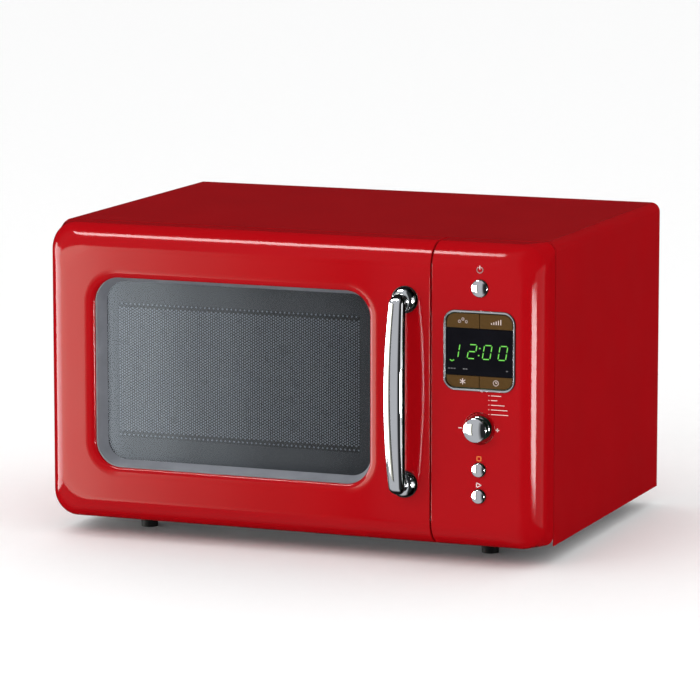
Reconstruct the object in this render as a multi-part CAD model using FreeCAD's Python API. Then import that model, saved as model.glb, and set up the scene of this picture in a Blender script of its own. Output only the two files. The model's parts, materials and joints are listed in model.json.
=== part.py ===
import FreeCAD, Part
import math
import os

# Compact retro microwave oven, in millimetres, +Z up, front towards -Y, +X to the viewer's right.
# The origin is under the middle of the whole object, on the surface that it stands on.

V = FreeCAD.Vector
os.makedirs("parts", exist_ok=True)

# ---------------------------------------------------------------- driving dimensions
HALF_WIDTH = 223.0          # half of the 446 mm body width
TOP_Z = 270.0               # top of the cabinet above the surface it stands on
SKIRT_Z = 15.4              # bottom edge of the cabinet sides
HANDLE_Y = -182.0           # foremost point of the handle
FRONT_Y = -150.0            # flat front face of door and control panel
SEAM_Y = -110.0             # where the front pieces meet the cabinet
BACK_Y = 178.0              # rear edge of the cabinet
REAR_Y = 182.0              # outer end of the cord gland

SHEET = 1.0                 # cabinet and oven sheet steel
PLATE = 1.2                 # base, rear and front frame plates
MOULDING = 2.6              # wall of the plastic mouldings
ROLL = 22.0                 # radius of the rolled front edges
SEAM_CORNER = 9.0           # corner radius seen from the front, at the seam
ROLL_CORNER = 20.0          # the same, where the roll starts
FACE_CORNER = 24.0          # the same, round the flat front face
DOOR_BACK_Y = SEAM_Y - 0.6  # rear edge of the door's rim
CABINET_FRONT_Y = SEAM_Y + 0.4
FRAME_FRONT_Y = SEAM_Y + 1.4
FRAME_BACK_Y = FRAME_FRONT_Y + PLATE

DOOR_RIGHT_X = 127.5
PANEL_LEFT_X = 128.9

# window in the door
WINDOW_X0 = -177.2
WINDOW_X1 = 73.5
WINDOW_Z0 = 62.9
WINDOW_Z1 = 226.4
WINDOW_CORNER = 22.0
WINDOW_LIP = 8.5            # width of the rolled lip round the window
WINDOW_LIP_DEPTH = 4.0
GLASS_Y = -132.0            # front of the recessed glass
GLASS_EDGE = 1.5            # the glass reaches this far past the opening
WINDOW_DRAFT = 4.8          # the tunnel narrows by this much on each side
SCREEN_Y = -119.3           # front of the perforated steel screen
SCREEN_X0 = -171.0          # perforated steel screen behind the glass
SCREEN_X1 = 59.0
SCREEN_Z0 = 82.0
SCREEN_Z1 = 204.0

# oven cavity, inside the liner
CAVITY_X0 = -202.0
CAVITY_X1 = 98.0
CAVITY_Y1 = 162.0
CAVITY_Z0 = 40.0
CAVITY_Z1 = 246.0
TABLE_X = (CAVITY_X0 + CAVITY_X1) / 2
TABLE_Y = 27.0

# door hinge
HINGE_X = -HALF_WIDTH + 8.0
HINGE_Y = SEAM_Y - 12.0
HINGE_PIN_R = 2.5
HINGE_REACH = 11.4          # the door's rear left corner is rounded to this radius about the pin
UPPER_ARM_Z = 253.0
LOWER_ARM_Z = 33.0
ARM_THICK = 2.0

# latch
HOOK_X0 = 119.6
HOOK_X1 = 124.2
HOOK_LOW_Z = 78.0
HOOK_HIGH_Z = 204.0
LATCH_TOP_Z = HOOK_HIGH_Z + 12.0
SPRING_TOP_Z = 240.0

# handle
HANDLE_X = 105.8
HANDLE_LOW_Z = 67.3
HANDLE_HIGH_Z = 222.2
POST_R = 11.4

# controls, on the panel's own centre line
CONTROL_X = 171.0
POWER_Z = 234.6
POWER_R = 7.0
DISPLAY_Z = 182.6
BEZEL_W = 62.7
BEZEL_H = 66.9
BEZEL_CORNER = 10.5
BEZEL_RIM = 2.3
LENS_Z0 = 162.0
LENS_Z1 = 201.0
KNOB_Z = 118.1
KNOB_R = 10.0
DISH_R = 13.4
STOP_Z = 83.4
START_Z = 61.2
BUTTON_R = 5.65
BOARD_Y = -133.0

# turntable
WHEEL_R = 6.7
WHEEL_TRACK_R = 88.0
PLATE_R = 127.0
PLATE_BOTTOM_Z = CAVITY_Z0 + 2 * WHEEL_R + 0.7

# transformer core and feet
CORE_Y0 = -60.0
CORE_Y1 = 2.0
FOOT_X = 157.0
FOOT_FRONT_Y = -81.0
FOOT_REAR_Y = 146.0


# ---------------------------------------------------------------- shape helpers
def box(x0, x1, y0, y1, z0, z1):
    return Part.makeBox(x1 - x0, y1 - y0, z1 - z0, V(x0, y0, z0))


def cyl_x(y, z, radius, x0, x1):
    return Part.makeCylinder(radius, x1 - x0, V(x0, y, z), V(1, 0, 0))


def cyl_y(x, z, radius, y0, y1):
    return Part.makeCylinder(radius, y1 - y0, V(x, y0, z), V(0, 1, 0))


def cyl_z(x, y, radius, z0, z1):
    return Part.makeCylinder(radius, z1 - z0, V(x, y, z0), V(0, 0, 1))


def rounded_wire(x0, x1, z0, z1, radius, y):
    """A rounded rectangle facing the front, drawn in the plane at depth y."""
    corners = [(x1 - radius, z0 + radius, -90), (x1 - radius, z1 - radius, 0),
               (x0 + radius, z1 - radius, 90), (x0 + radius, z0 + radius, 180)]
    arcs = []
    for cx, cz, start in corners:
        points = []
        for step in (0, 45, 90):
            angle = math.radians(start + step)
            points.append(V(cx + radius * math.cos(angle), y, cz + radius * math.sin(angle)))
        arcs.append(Part.Arc(*points).toShape())
    edges = []
    for i, arc in enumerate(arcs):
        following = arcs[(i + 1) % 4]
        edges.append(arc)
        edges.append(Part.makeLine(arc.Vertexes[-1].Point, following.Vertexes[0].Point))
    return Part.Wire(edges)


def rounded_slab(x0, x1, z0, z1, radius, y0, y1):
    face = Part.Face(rounded_wire(x0, x1, z0, z1, radius, y0))
    return face.extrude(V(0, y1 - y0, 0))


def grown_slab(x0, x1, z0, z1, radius, y0, y1, grow):
    return rounded_slab(x0 - grow, x1 + grow, z0 - grow, z1 + grow, radius + grow, y0, y1)


def extrude_polygon(points, direction):
    wire = Part.makePolygon(points + [points[0]])
    return Part.Face(wire).extrude(direction)


def revolve_about(points, centre, axis):
    wire = Part.makePolygon(points + [points[0]])
    return Part.Face(wire).revolve(centre, axis, 360)


def cut_all(shape, tools):
    return shape.cut(tools)


def join(shapes):
    result = shapes[0].fuse(shapes[1:])
    return result.removeSplitter()


def save(name, shape):
    if shape.ShapeType == "Compound" and len(shape.Solids) == 1:
        shape = shape.Solids[0]
    for solid in shape.Solids:
        if not solid.isValid():
            print("INVALID", name)
    print(f"{name:24s} solids {len(shape.Solids)}  cm3 {shape.Volume / 1000:.2f}")
    shape.exportStep(f"parts/{name}.step")


# ---------------------------------------------------------------- rolled front shell
def front_solid(inset):
    """The full-width front of the oven: a slab whose front edges roll back to the seam."""
    roll_start = FRONT_Y + ROLL
    radius = ROLL - inset
    back_y = DOOR_BACK_Y + (1.0 if inset else 0.0)
    rim = [front_outline(inset, SEAM_CORNER - inset, back_y),
           front_outline(inset, ROLL_CORNER - inset, roll_start)]
    roll = []
    steps = 8
    for i in range(steps + 1):
        angle = math.radians(90.0 * i / steps)
        corner = ROLL_CORNER + (FACE_CORNER - ROLL_CORNER) * math.sin(angle)
        margin = inset + radius * (1 - math.cos(angle))
        roll.append(front_outline(margin, corner - inset, roll_start - radius * math.sin(angle)))
    solid = join([Part.makeLoft(rim, True, True), Part.makeLoft(roll, True, False)])
    return solid.common(box(-HALF_WIDTH + inset, HALF_WIDTH - inset, -200, 0,
                            SKIRT_Z + inset, TOP_Z - inset))


def front_outline(margin, corner, y):
    """The oven's outline seen from the front, drawn in by a margin."""
    return rounded_wire(-HALF_WIDTH + margin, HALF_WIDTH - margin,
                        SKIRT_Z + margin, TOP_Z - margin, corner, y)


def shell_between(x0, x1, hollow_x0, hollow_x1):
    """The front shell from x0 to x1, hollow from hollow_x0 to hollow_x1 and open behind."""
    outer = front_solid(0.0).common(box(x0, x1, -200, 0, 0, 300))
    hollow = front_solid(MOULDING).common(box(hollow_x0, hollow_x1, -200, 0, 0, 300))
    return outer.cut(hollow)


def hinge_clearance(z_arm):
    """Room in the door for a hinge arm to sweep through."""
    return cyl_z(HINGE_X, HINGE_Y, 13.8, z_arm - 0.6, z_arm + ARM_THICK + 0.6)


# ---------------------------------------------------------------- cabinet
def outer_cabinet():
    outer = rounded_slab(-HALF_WIDTH, HALF_WIDTH, SKIRT_Z - 20, TOP_Z, 8.0, CABINET_FRONT_Y, BACK_Y)
    inner = rounded_slab(-HALF_WIDTH + SHEET, HALF_WIDTH - SHEET, SKIRT_Z - 20 + SHEET,
                         TOP_Z - SHEET, 8.0 - SHEET, CABINET_FRONT_Y, BACK_Y)
    below = box(-300, 300, -200, 300, -50, SKIRT_Z)
    return outer.cut([inner, below])


def base_plate():
    x = HALF_WIDTH - SHEET - 0.2
    plate = box(-x, x, FRAME_BACK_Y, BACK_Y - 3, 19.0, 19.0 + PLATE)
    lips = [box(edge, edge + PLATE, FRAME_BACK_Y, BACK_Y - 3, 19.0, 30.0) for edge in (-x, x - PLATE)]
    slots = []
    for row in range(3):
        for column in range(9):
            x0 = 118.0 + column * 9.0
            y0 = 86.0 + row * 26.0
            slots.append(box(x0, x0 + 3.0, y0, y0 + 20.0, 15, 25))
    service = cyl_z(TABLE_X, TABLE_Y, 20.0, 15, 25)
    return cut_all(join([plate] + lips), slots + [service])


def rear_panel():
    x = HALF_WIDTH - SHEET - 0.2
    panel = rounded_slab(-x, x, 10.0, TOP_Z - SHEET - 0.2, 7.0, BACK_Y - 3, BACK_Y - 3 + PLATE)
    panel = panel.common(box(-x, x, 100, 200, 20.2, 300))
    slots = []
    for row in range(12):
        z = 150.0 + row * 7.5
        slots.append(box(110.0, 158.0, 170, 180, z, z + 3.0))
        slots.append(box(164.0, 212.0, 170, 180, z, z + 3.0))
    for row in range(8):
        z = 190.0 + row * 6.0
        slots.append(box(-205.0, -160.0, 170, 180, z, z + 2.5))
    slots.append(cyl_y(185.0, 60.0, 6.5, 170, 180))
    return cut_all(panel, slots)


def cord_gland():
    """Rubber bush that leads the mains lead through the rear panel."""
    flange = cyl_y(185.0, 60.0, 9.0, BACK_Y - 3 + PLATE, REAR_Y - 2.0)
    nose = cyl_y(185.0, 60.0, 6.4, REAR_Y - 2.0, REAR_Y)
    neck = cyl_y(185.0, 60.0, 6.4, BACK_Y - 6, BACK_Y - 3 + PLATE)
    inner = cyl_y(185.0, 60.0, 8.0, BACK_Y - 6, BACK_Y - 3.2)
    return join([flange, nose, neck, inner]).cut(cyl_y(185.0, 60.0, 4.0, 150, 200))


def latch_slots():
    slots = []
    for z in (HOOK_LOW_Z, HOOK_HIGH_Z):
        slots.append(box(HOOK_X0 - 1.2, HOOK_X1 + 2.6, -112, -100, z - 8.0, z + 12.0))
    return slots


def front_frame():
    x = HALF_WIDTH - SHEET - 0.2
    plate = rounded_slab(-x, x, 19.0, TOP_Z - SHEET - 0.2, 7.0, FRAME_FRONT_Y, FRAME_BACK_Y)
    mouth = rounded_slab(CAVITY_X0, CAVITY_X1, CAVITY_Z0, CAVITY_Z1, 4.0, -120, -100)
    wiring = box(142, 214, -120, -100, 45, 245)
    return plate.cut([mouth, wiring] + latch_slots())


def cavity_liner():
    y0 = FRAME_BACK_Y
    outer = box(CAVITY_X0 - SHEET, CAVITY_X1 + SHEET, y0, CAVITY_Y1 + SHEET,
                CAVITY_Z0 - SHEET, CAVITY_Z1 + SHEET)
    inner = box(CAVITY_X0, CAVITY_X1, y0, CAVITY_Y1, CAVITY_Z0, CAVITY_Z1)
    tools = [inner, cyl_z(TABLE_X, TABLE_Y, 8.0, 30, 50)]
    tools.append(box(90, 105, 5.0, 65.0, 175.0, 225.0))
    for row in range(4):
        for column in range(5):
            tools.append(cyl_x(-70.0 + column * 7.0, 205.0 + row * 7.0, 2.0, 90, 105))
            tools.append(cyl_x(100.0 + column * 8.0, 200.0 + row * 8.0, 2.5, -210, -195))
    return cut_all(outer, tools)


# ---------------------------------------------------------------- microwave generator
def waveguide():
    x0 = CAVITY_X1 + SHEET
    outer = box(x0, x0 + 24, -2.0, 72.0, 150.0, 232.0)
    inner = box(x0, x0 + 22.8, -0.8, 70.8, 151.2, 230.8)
    port = cyl_x(35.0, 172.0, 10.5, x0 + 20, x0 + 30)
    flange = box(x0, x0 + 1.0, -8.0, 78.0, 144.0, 238.0).cut(inner)
    return join([outer, flange]).cut([inner, port])


def mica_cover():
    """Thin cover over the waveguide's mouth, on the oven's right wall."""
    return box(CAVITY_X1 - 0.6, CAVITY_X1, -1.0, 71.0, 168.0, 232.0)


def magnetron():
    """Cooling fins in a yoke, filter box in front, antenna towards the waveguide."""
    x0 = CAVITY_X1 + SHEET + 24
    yoke = box(x0, x0 + 76, -10.0, 80.0, 130.0, 214.0)
    window = box(x0 + 8, x0 + 68, -20.0, 90.0, 136.0, 208.0)
    fins = []
    for i in range(9):
        x = x0 + 11.0 + i * 6.6
        fins.append(box(x, x + 1.0, -8.0, 78.0, 136.0, 208.0))
    tube = cyl_x(35.0, 172.0, 16.0, x0 + 8, x0 + 68)
    antenna = cyl_x(35.0, 172.0, 9.5, x0 - 14, x0)
    return join([yoke.cut(window)] + fins + [tube, antenna])


def filter_box():
    """Thin steel can under the magnetron, round its filter."""
    x0 = CAVITY_X1 + SHEET + 24
    can = box(x0 + 10, x0 + 66, 22.0, 62.0, 104.0, 130.0)
    return can.cut(box(x0 + 11, x0 + 65, 23.0, 61.0, 105.0, 131.0))


def transformer_core():
    """Stacked laminations: a figure of eight, welded to a mounting plate."""
    core = box(110.0, 206.0, CORE_Y0, CORE_Y1, 22.0, 94.0)
    windows = []
    for x in (124.0, 176.0):
        windows.append(box(x, x + 16.0, CORE_Y0 - 20, CORE_Y1 + 20, 38.0, 78.0))
    plate = box(104.0, 212.0, CORE_Y0 - 6, CORE_Y1 + 6, 20.2, 22.0)
    return join([core.cut(windows), plate])


def transformer_windings():
    """Primary and secondary coils on the middle limb."""
    overhang = 20.0
    coil = rounded_slab(124.6, 191.4, 38.6, 77.4, 6.0, CORE_Y0 - overhang, CORE_Y1 + overhang)
    core = box(124.0, 192.0, CORE_Y0 - 0.3, CORE_Y1 + 0.3, 30.0, 90.0)
    sides = [box(x, x + 15.0, CORE_Y0 - 1, CORE_Y1 + 1, 38.6, 77.4) for x in (124.5, 176.5)]
    return join([coil.cut(core)] + sides)


def capacitor():
    """Oval can with two blade terminals, standing on the base plate."""
    radius = 16.0
    y = 46.0
    straight = box(130.0, 164.0, y - radius, y + radius, 20.2, 96.0)
    ends = [cyl_z(x, y, radius, 20.2, 96.0) for x in (130.0, 164.0)]
    tabs = [box(x - 3.0, x + 3.0, y - 0.6, y + 0.6, 96.0, 102.0) for x in (137.0, 157.0)]
    return join([straight] + ends + tabs)


def fan_shroud():
    plate = box(103.0, 217.0, 150.0, 153.0, 140.0, 254.0)
    ring = cyl_y(160.0, 197.0, 54.0, 150.0, 174.0).cut(cyl_y(160.0, 197.0, 52.0, 140.0, 180.0))
    bars = [box(103.0, 217.0, 150.0, 153.0, z, z + 5.0) for z in (182.0, 207.0)]
    opening = cyl_y(160.0, 197.0, 52.0, 140.0, 180.0)
    spider = join(bars).common(cyl_y(160.0, 197.0, 53.0, 150.0, 153.0))
    return join([plate.cut(opening), ring, spider])


def fan_motor():
    stack = box(138.0, 182.0, 120.0, 138.0, 175.0, 219.0)
    coil = box(142.0, 178.0, 116.0, 142.0, 168.0, 174.0)
    bridge = box(152.0, 168.0, 138.0, 150.0, 182.0, 187.0)
    bridge_top = box(152.0, 168.0, 138.0, 150.0, 207.0, 212.0)
    link = box(142.0, 178.0, 122.0, 136.0, 174.0, 175.0)
    bore = cyl_y(160.0, 197.0, 2.56, 110.0, 150.0)
    return join([stack, coil, link, bridge, bridge_top]).cut(bore)


def fan_blade():
    """Moulded axial fan with five pitched blades on a hub, and its steel shaft."""
    hub = cyl_y(160.0, 197.0, 13.0, 155.0, 170.0)
    shaft = cyl_y(160.0, 197.0, 2.5, 118.0, 158.0)
    blades = []
    for i in range(5):
        blade = box(160.0 + 11.0, 160.0 + 48.5, 161.0, 162.6, 197.0 - 17.0, 197.0 + 17.0)
        blade.rotate(V(160.0, 162.0, 197.0), V(1, 0, 0), 20.0)
        blade.rotate(V(160.0, 162.0, 197.0), V(0, 1, 0), 72.0 * i)
        blades.append(blade)
    rim = cyl_y(160.0, 197.0, 50.0, 150.0, 180.0)
    return join([hub, shaft] + [blade.common(rim) for blade in blades])


# ---------------------------------------------------------------- smaller electrics
def turntable_motor():
    body = cyl_z(TABLE_X, TABLE_Y, 24.5, 24.5, CAVITY_Z0 - SHEET)
    ears = box(TABLE_X - 33, TABLE_X + 33, TABLE_Y - 4, TABLE_Y + 4, CAVITY_Z0 - SHEET - 1.2,
               CAVITY_Z0 - SHEET)
    bore = cyl_z(TABLE_X, TABLE_Y, 3.06, 30.0, 60)
    return join([body, ears]).cut(bore)


def oven_lamp():
    """Small bulb, domed at the end that faces the oven wall."""
    glass = cyl_x(-56.0, 216.0, 9.0, 104.0, 124.0)
    rim = [e for e in glass.Edges if e.BoundBox.XMax < 104.1]
    return glass.makeFillet(7.5, rim)


def lamp_socket():
    body = cyl_x(-56.0, 216.0, 10.5, 124.0, 140.0)
    foot = box(99.0, 140.0, -57.5, -54.5, 231.0, 234.0)
    post = box(136.0, 140.0, -57.5, -54.5, 216.0, 234.0)
    return join([body, foot, post])


def filter_board():
    board = box(112.0, 206.0, -40.0, 60.0, 246.0, 247.6)
    coil = cyl_z(140.0, -10.0, 12.0, 247.6, 262.0)
    block = box(165.0, 192.0, 10.0, 36.0, 247.6, 264.0)
    fuse = box(120.0, 126.0, 20.0, 50.0, 247.6, 254.0)
    posts = [box(106.0, 112.0, y, y + 6.0, 246.0, 247.0) for y in (-30.0, 40.0)]
    arms = [box(99.0, 107.0, y, y + 6.0, 240.0, 247.0) for y in (-30.0, 40.0)]
    return join([board, coil, block, fuse] + posts + arms)


def latch_board():
    """Moulded interlock holder behind the front frame, open where the hooks come through."""
    plate = box(104.0, 134.0, -86.0, -83.5, 62.0, 232.0)
    left = box(104.0, 106.5, FRAME_BACK_Y, -86.0, 62.0, 232.0)
    right = box(131.5, 134.0, FRAME_BACK_Y, -86.0, 62.0, 232.0)
    shelves = [box(106.5, 131.5, -100.0, -86.0, z, z + 2.0) for z in (62.0, 110.0, 180.0, 230.0)]
    return join([plate, left, right] + shelves)


def interlock_switches():
    solids = [box(107.0, 117.0, -104.0, -88.0, z, z + 28.0) for z in (76.0, 114.0, 196.0)]
    return Part.makeCompound(solids)


# ---------------------------------------------------------------- control panel
def key_outline(grow, y0, y1):
    return rounded_slab(CONTROL_X - BEZEL_W / 2 + grow, CONTROL_X + BEZEL_W / 2 - grow,
                        DISPLAY_Z - BEZEL_H / 2 + grow, DISPLAY_Z + BEZEL_H / 2 - grow,
                        BEZEL_CORNER - grow, y0, y1)


def control_panel():
    shell = shell_between(PANEL_LEFT_X, HALF_WIDTH + 5, PANEL_LEFT_X + MOULDING, HALF_WIDTH + 5)
    dish = cyl_y(CONTROL_X, KNOB_Z, DISH_R + MOULDING, FRONT_Y + 1.0, FRONT_Y + 6.4)
    shell = join([shell, dish])
    tools = [cyl_y(CONTROL_X, KNOB_Z, DISH_R, FRONT_Y - 5, FRONT_Y + 3.8),
             cyl_y(CONTROL_X, KNOB_Z, 4.6, FRONT_Y - 5, FRONT_Y + 10),
             cyl_y(CONTROL_X, POWER_Z, POWER_R + 0.4, FRONT_Y - 5, FRONT_Y + 10),
             cyl_y(CONTROL_X, STOP_Z, BUTTON_R + 0.4, FRONT_Y - 5, FRONT_Y + 10),
             cyl_y(CONTROL_X, START_Z, BUTTON_R + 0.4, FRONT_Y - 5, FRONT_Y + 10),
             key_outline(1.0, FRONT_Y - 5, FRONT_Y + 10)]
    return cut_all(shell, tools)


def display_bezel():
    rim = key_outline(0.0, FRONT_Y - 1.4, FRONT_Y).cut(key_outline(BEZEL_RIM, -160, -140))
    sleeve = key_outline(1.0, FRONT_Y, FRONT_Y + 5.0).cut(key_outline(BEZEL_RIM, -160, -140))
    return join([rim, sleeve])


def display_lens():
    half = BEZEL_W / 2 - BEZEL_RIM
    return box(CONTROL_X - half, CONTROL_X + half, FRONT_Y - 0.4, FRONT_Y + 2.0, LENS_Z0, LENS_Z1)


def display_module():
    return box(CONTROL_X - 26, CONTROL_X + 26, FRONT_Y + 2.0, BOARD_Y, LENS_Z0 + 1.5, LENS_Z1 - 1.5)


def display_key(side, level):
    """One of the four soft keys above and below the display."""
    x0 = CONTROL_X - 40 if side < 0 else CONTROL_X + 0.3
    x1 = CONTROL_X - 0.3 if side < 0 else CONTROL_X + 40
    z0 = LENS_Z1 + 0.4 if level > 0 else 100
    z1 = 300 if level > 0 else LENS_Z0 - 0.4
    cap = key_outline(BEZEL_RIM + 0.4, FRONT_Y - 0.2, FRONT_Y + 3.0)
    cap = cap.common(box(x0, x1, -160, -140, z0, z1))
    z = DISPLAY_Z + level * 26.5
    stem = cyl_y(CONTROL_X + side * 15.0, z, 1.6, FRONT_Y + 3.0, BOARD_Y - 3.4)
    return join([cap, stem])


def push_button(z, radius, proud):
    """Round cap with a retaining flange behind the panel and a stem towards its switch."""
    y0 = FRONT_Y - proud
    cap = cyl_y(CONTROL_X, z, radius, y0, FRONT_Y + 5.4)
    rim = [e for e in cap.Edges if abs(e.BoundBox.YMin - y0) < 0.01 and e.BoundBox.YLength < 0.01]
    cap = cap.makeFillet(1.2, rim)
    flange = cyl_y(CONTROL_X, z, radius + 1.6, FRONT_Y + 3.4, FRONT_Y + 5.0)
    stem = cyl_y(CONTROL_X, z, 1.8, FRONT_Y + 5.0, BOARD_Y - 3.4)
    return join([cap, flange, stem])


def control_board():
    board = box(134.5, 214.0, BOARD_Y, BOARD_Y + 1.6, 48.0, 246.0)
    relays = [box(150.0, 170.0, BOARD_Y + 1.6, BOARD_Y + 15.0, z, z + 16.0) for z in (70.0, 92.0)]
    transformer = box(180.0, 208.0, BOARD_Y + 1.6, BOARD_Y + 20.0, 120.0, 150.0)
    switches = []
    for x, z in [(CONTROL_X, POWER_Z), (CONTROL_X, STOP_Z), (CONTROL_X, START_Z)]:
        switches.append(box(x - 3, x + 3, BOARD_Y - 1.9, BOARD_Y, z - 3, z + 3))
    for side in (-1, 1):
        for level in (-1, 1):
            x = CONTROL_X + side * 15.0
            z = DISPLAY_Z + level * 26.5
            switches.append(box(x - 3, x + 3, BOARD_Y - 1.9, BOARD_Y, z - 2.4, z + 2.4))
    hole = cyl_y(CONTROL_X, KNOB_Z, 4.0, BOARD_Y - 5, BOARD_Y + 1.6)
    edge_rail = box(PANEL_LEFT_X + MOULDING, 134.5, BOARD_Y, BOARD_Y + 1.6, 60.0, 70.0)
    edge_rail_top = box(PANEL_LEFT_X + MOULDING, 134.5, BOARD_Y, BOARD_Y + 1.6, 220.0, 230.0)
    return join([board, edge_rail, edge_rail_top] + relays + [transformer] + switches).cut(hole)


def selector_knob():
    """Turned cap, hollow behind, on a hub bored for the encoder's shaft."""
    y0 = FRONT_Y - 14.0
    y1 = FRONT_Y + 3.2
    cap = cyl_y(CONTROL_X, KNOB_Z, KNOB_R, y0, y1)
    rim = [e for e in cap.Edges if abs(e.BoundBox.YMin - y0) < 0.01 and e.BoundBox.YLength < 0.01]
    cap = cap.makeFillet(2.2, rim)
    hollow = cyl_y(CONTROL_X, KNOB_Z, KNOB_R - 1.6, y0 + 3.0, y1 + 1)
    hub = cyl_y(CONTROL_X, KNOB_Z, 4.2, y0 + 2.0, y1 - 1.0)
    bore = cyl_y(CONTROL_X, KNOB_Z, 3.0, y0 + 4.0, y1 + 1)
    return join([cap.cut(hollow), hub]).cut(bore)


def encoder_shaft():
    return cyl_y(CONTROL_X, KNOB_Z, 3.0, FRONT_Y - 9.0, BOARD_Y - 1.0)


def knob_encoder():
    body = box(CONTROL_X - 6, CONTROL_X + 6, BOARD_Y - 6.0, BOARD_Y, KNOB_Z - 6, KNOB_Z + 6)
    bush = cyl_y(CONTROL_X, KNOB_Z, 4.2, FRONT_Y + 4.6, BOARD_Y - 6.0)
    return join([body, bush]).cut(cyl_y(CONTROL_X, KNOB_Z, 3.06, -160, BOARD_Y - 0.6))


# ---------------------------------------------------------------- door
def window_box(grow, y0, y1):
    return grown_slab(WINDOW_X0, WINDOW_X1, WINDOW_Z0, WINDOW_Z1, WINDOW_CORNER, y0, y1, grow)


def window_lip_cutter():
    """Rolls the red moulding into the window opening along a quarter of an ellipse."""
    wires = []
    steps = 5
    for i in range(steps + 1):
        angle = math.radians(90.0 * i / steps)
        grow = WINDOW_LIP * (1 - math.sin(angle))
        y = FRONT_Y + WINDOW_LIP_DEPTH * (1 - math.cos(angle))
        wires.append(rounded_wire(WINDOW_X0 - grow, WINDOW_X1 + grow, WINDOW_Z0 - grow,
                                  WINDOW_Z1 + grow, WINDOW_CORNER + grow, y))
    front = window_box(WINDOW_LIP, FRONT_Y - 5, FRONT_Y)
    return [Part.makeLoft(wires, True, False), front, window_box(0.0, FRONT_Y + 3.9, -140)]


def hinge_boss(z0, z1):
    """Bearing for a hinge pin, against the door's left wall."""
    wall = box(-HALF_WIDTH + MOULDING - 0.5, HINGE_X, HINGE_Y - 4.0, HINGE_Y + 4.0, z0, z1)
    return join([cyl_z(HINGE_X, HINGE_Y, 5.2, z0, z1), wall])


def door_outer_frame():
    shell = shell_between(-HALF_WIDTH - 5, DOOR_RIGHT_X, -HALF_WIDTH - 5, DOOR_RIGHT_X - MOULDING)
    lip = window_box(WINDOW_LIP + MOULDING, FRONT_Y + 1.0, FRONT_Y + WINDOW_LIP_DEPTH + 3.0)
    upper = hinge_boss(UPPER_ARM_Z - 11.0, UPPER_ARM_Z - 0.4)
    lower = hinge_boss(LOWER_ARM_Z + ARM_THICK + 0.4, LOWER_ARM_Z + 13.0)
    spring_boss = box(119.3, DOOR_RIGHT_X - MOULDING + 0.5, -119.0, -113.3,
                      SPRING_TOP_Z, SPRING_TOP_Z + 2.6)
    door = join([shell, lip, upper, lower, spring_boss])
    corner = box(-HALF_WIDTH - 5, HINGE_X, HINGE_Y, 0, 0, 300)
    corner = corner.cut(cyl_z(HINGE_X, HINGE_Y, HINGE_REACH, 0, 300))
    tools = window_lip_cutter() + [corner, hinge_clearance(UPPER_ARM_Z), hinge_clearance(LOWER_ARM_Z)]
    tools.append(cyl_z(HINGE_X, HINGE_Y, HINGE_PIN_R + 0.06, 0, 300).common(
        box(-300, 0, -200, 0, UPPER_ARM_Z - 12.0, UPPER_ARM_Z + 6.0)))
    tools.append(cyl_z(HINGE_X, HINGE_Y, HINGE_PIN_R + 0.06, 0, 300).common(
        box(-300, 0, -200, 0, LOWER_ARM_Z - 4.0, LOWER_ARM_Z + 14.0)))
    for z in (HANDLE_LOW_Z, HANDLE_HIGH_Z):
        tools.append(cyl_y(HANDLE_X, z, 2.1, -160, -140))
    return cut_all(door, tools)


def window_surround():
    """Dark tunnel from the lip back to a ledge for the glass, and on to the steel pan."""
    y0 = FRONT_Y + WINDOW_LIP_DEPTH + 3.0
    y1 = SCREEN_Y + 0.6
    tunnel = window_box(2.0, y0, GLASS_Y)
    sleeve = window_box(GLASS_EDGE + 2.0, GLASS_Y - 1.5, y1)
    flange = window_box(8.0, y1 - 2.0, y1)
    pocket = window_box(GLASS_EDGE + 0.1, GLASS_Y, y1 + 1.0)
    wires = []
    for y, grow in ((y0 - 0.1, 0.0), (GLASS_Y + 0.1, -WINDOW_DRAFT)):
        wires.append(rounded_wire(WINDOW_X0 - grow, WINDOW_X1 + grow, WINDOW_Z0 - grow,
                                  WINDOW_Z1 + grow, WINDOW_CORNER + grow, y))
    return cut_all(join([tunnel, sleeve, flange]), [Part.makeLoft(wires, True, True), pocket])


def door_glass():
    return window_box(GLASS_EDGE, GLASS_Y, GLASS_Y + 2.5)


def mesh_screen():
    return rounded_slab(SCREEN_X0, SCREEN_X1, SCREEN_Z0, SCREEN_Z1, 6.0, SCREEN_Y, SCREEN_Y + 0.6)


def door_inner_panel():
    """Steel pan: flat web round the screen, and the outer wall of the choke channel."""
    y = SCREEN_Y + 0.6
    web = rounded_slab(-208.0, 119.0, 28.0, 258.0, 6.0, y, y + 1.0)
    wall = rounded_slab(-208.0, 119.0, 28.0, 258.0, 6.0, y, DOOR_BACK_Y - 2.6)
    wall = wall.cut(rounded_slab(-207.0, 118.0, 29.0, 257.0, 5.0, y, -100))
    inner = rounded_slab(-188.0, 90.0, 52.0, 234.0, 6.0, y, DOOR_BACK_Y - 2.6)
    inner = inner.cut(rounded_slab(-187.0, 89.0, 53.0, 233.0, 5.0, y - 1, -100))
    window = rounded_slab(SCREEN_X0 + 2, SCREEN_X1 - 2, SCREEN_Z0 + 2, SCREEN_Z1 - 2, 5.0, -125, -110)
    tools = [window, hinge_clearance(UPPER_ARM_Z), hinge_clearance(LOWER_ARM_Z)]
    return cut_all(join([web, wall, inner]), tools)


def inner_window():
    y = SCREEN_Y + 1.6
    return rounded_slab(SCREEN_X0 - 4, SCREEN_X1 + 4, SCREEN_Z0 - 4, SCREEN_Z1 + 4, 8.0, y, y + 1.5)


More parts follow.
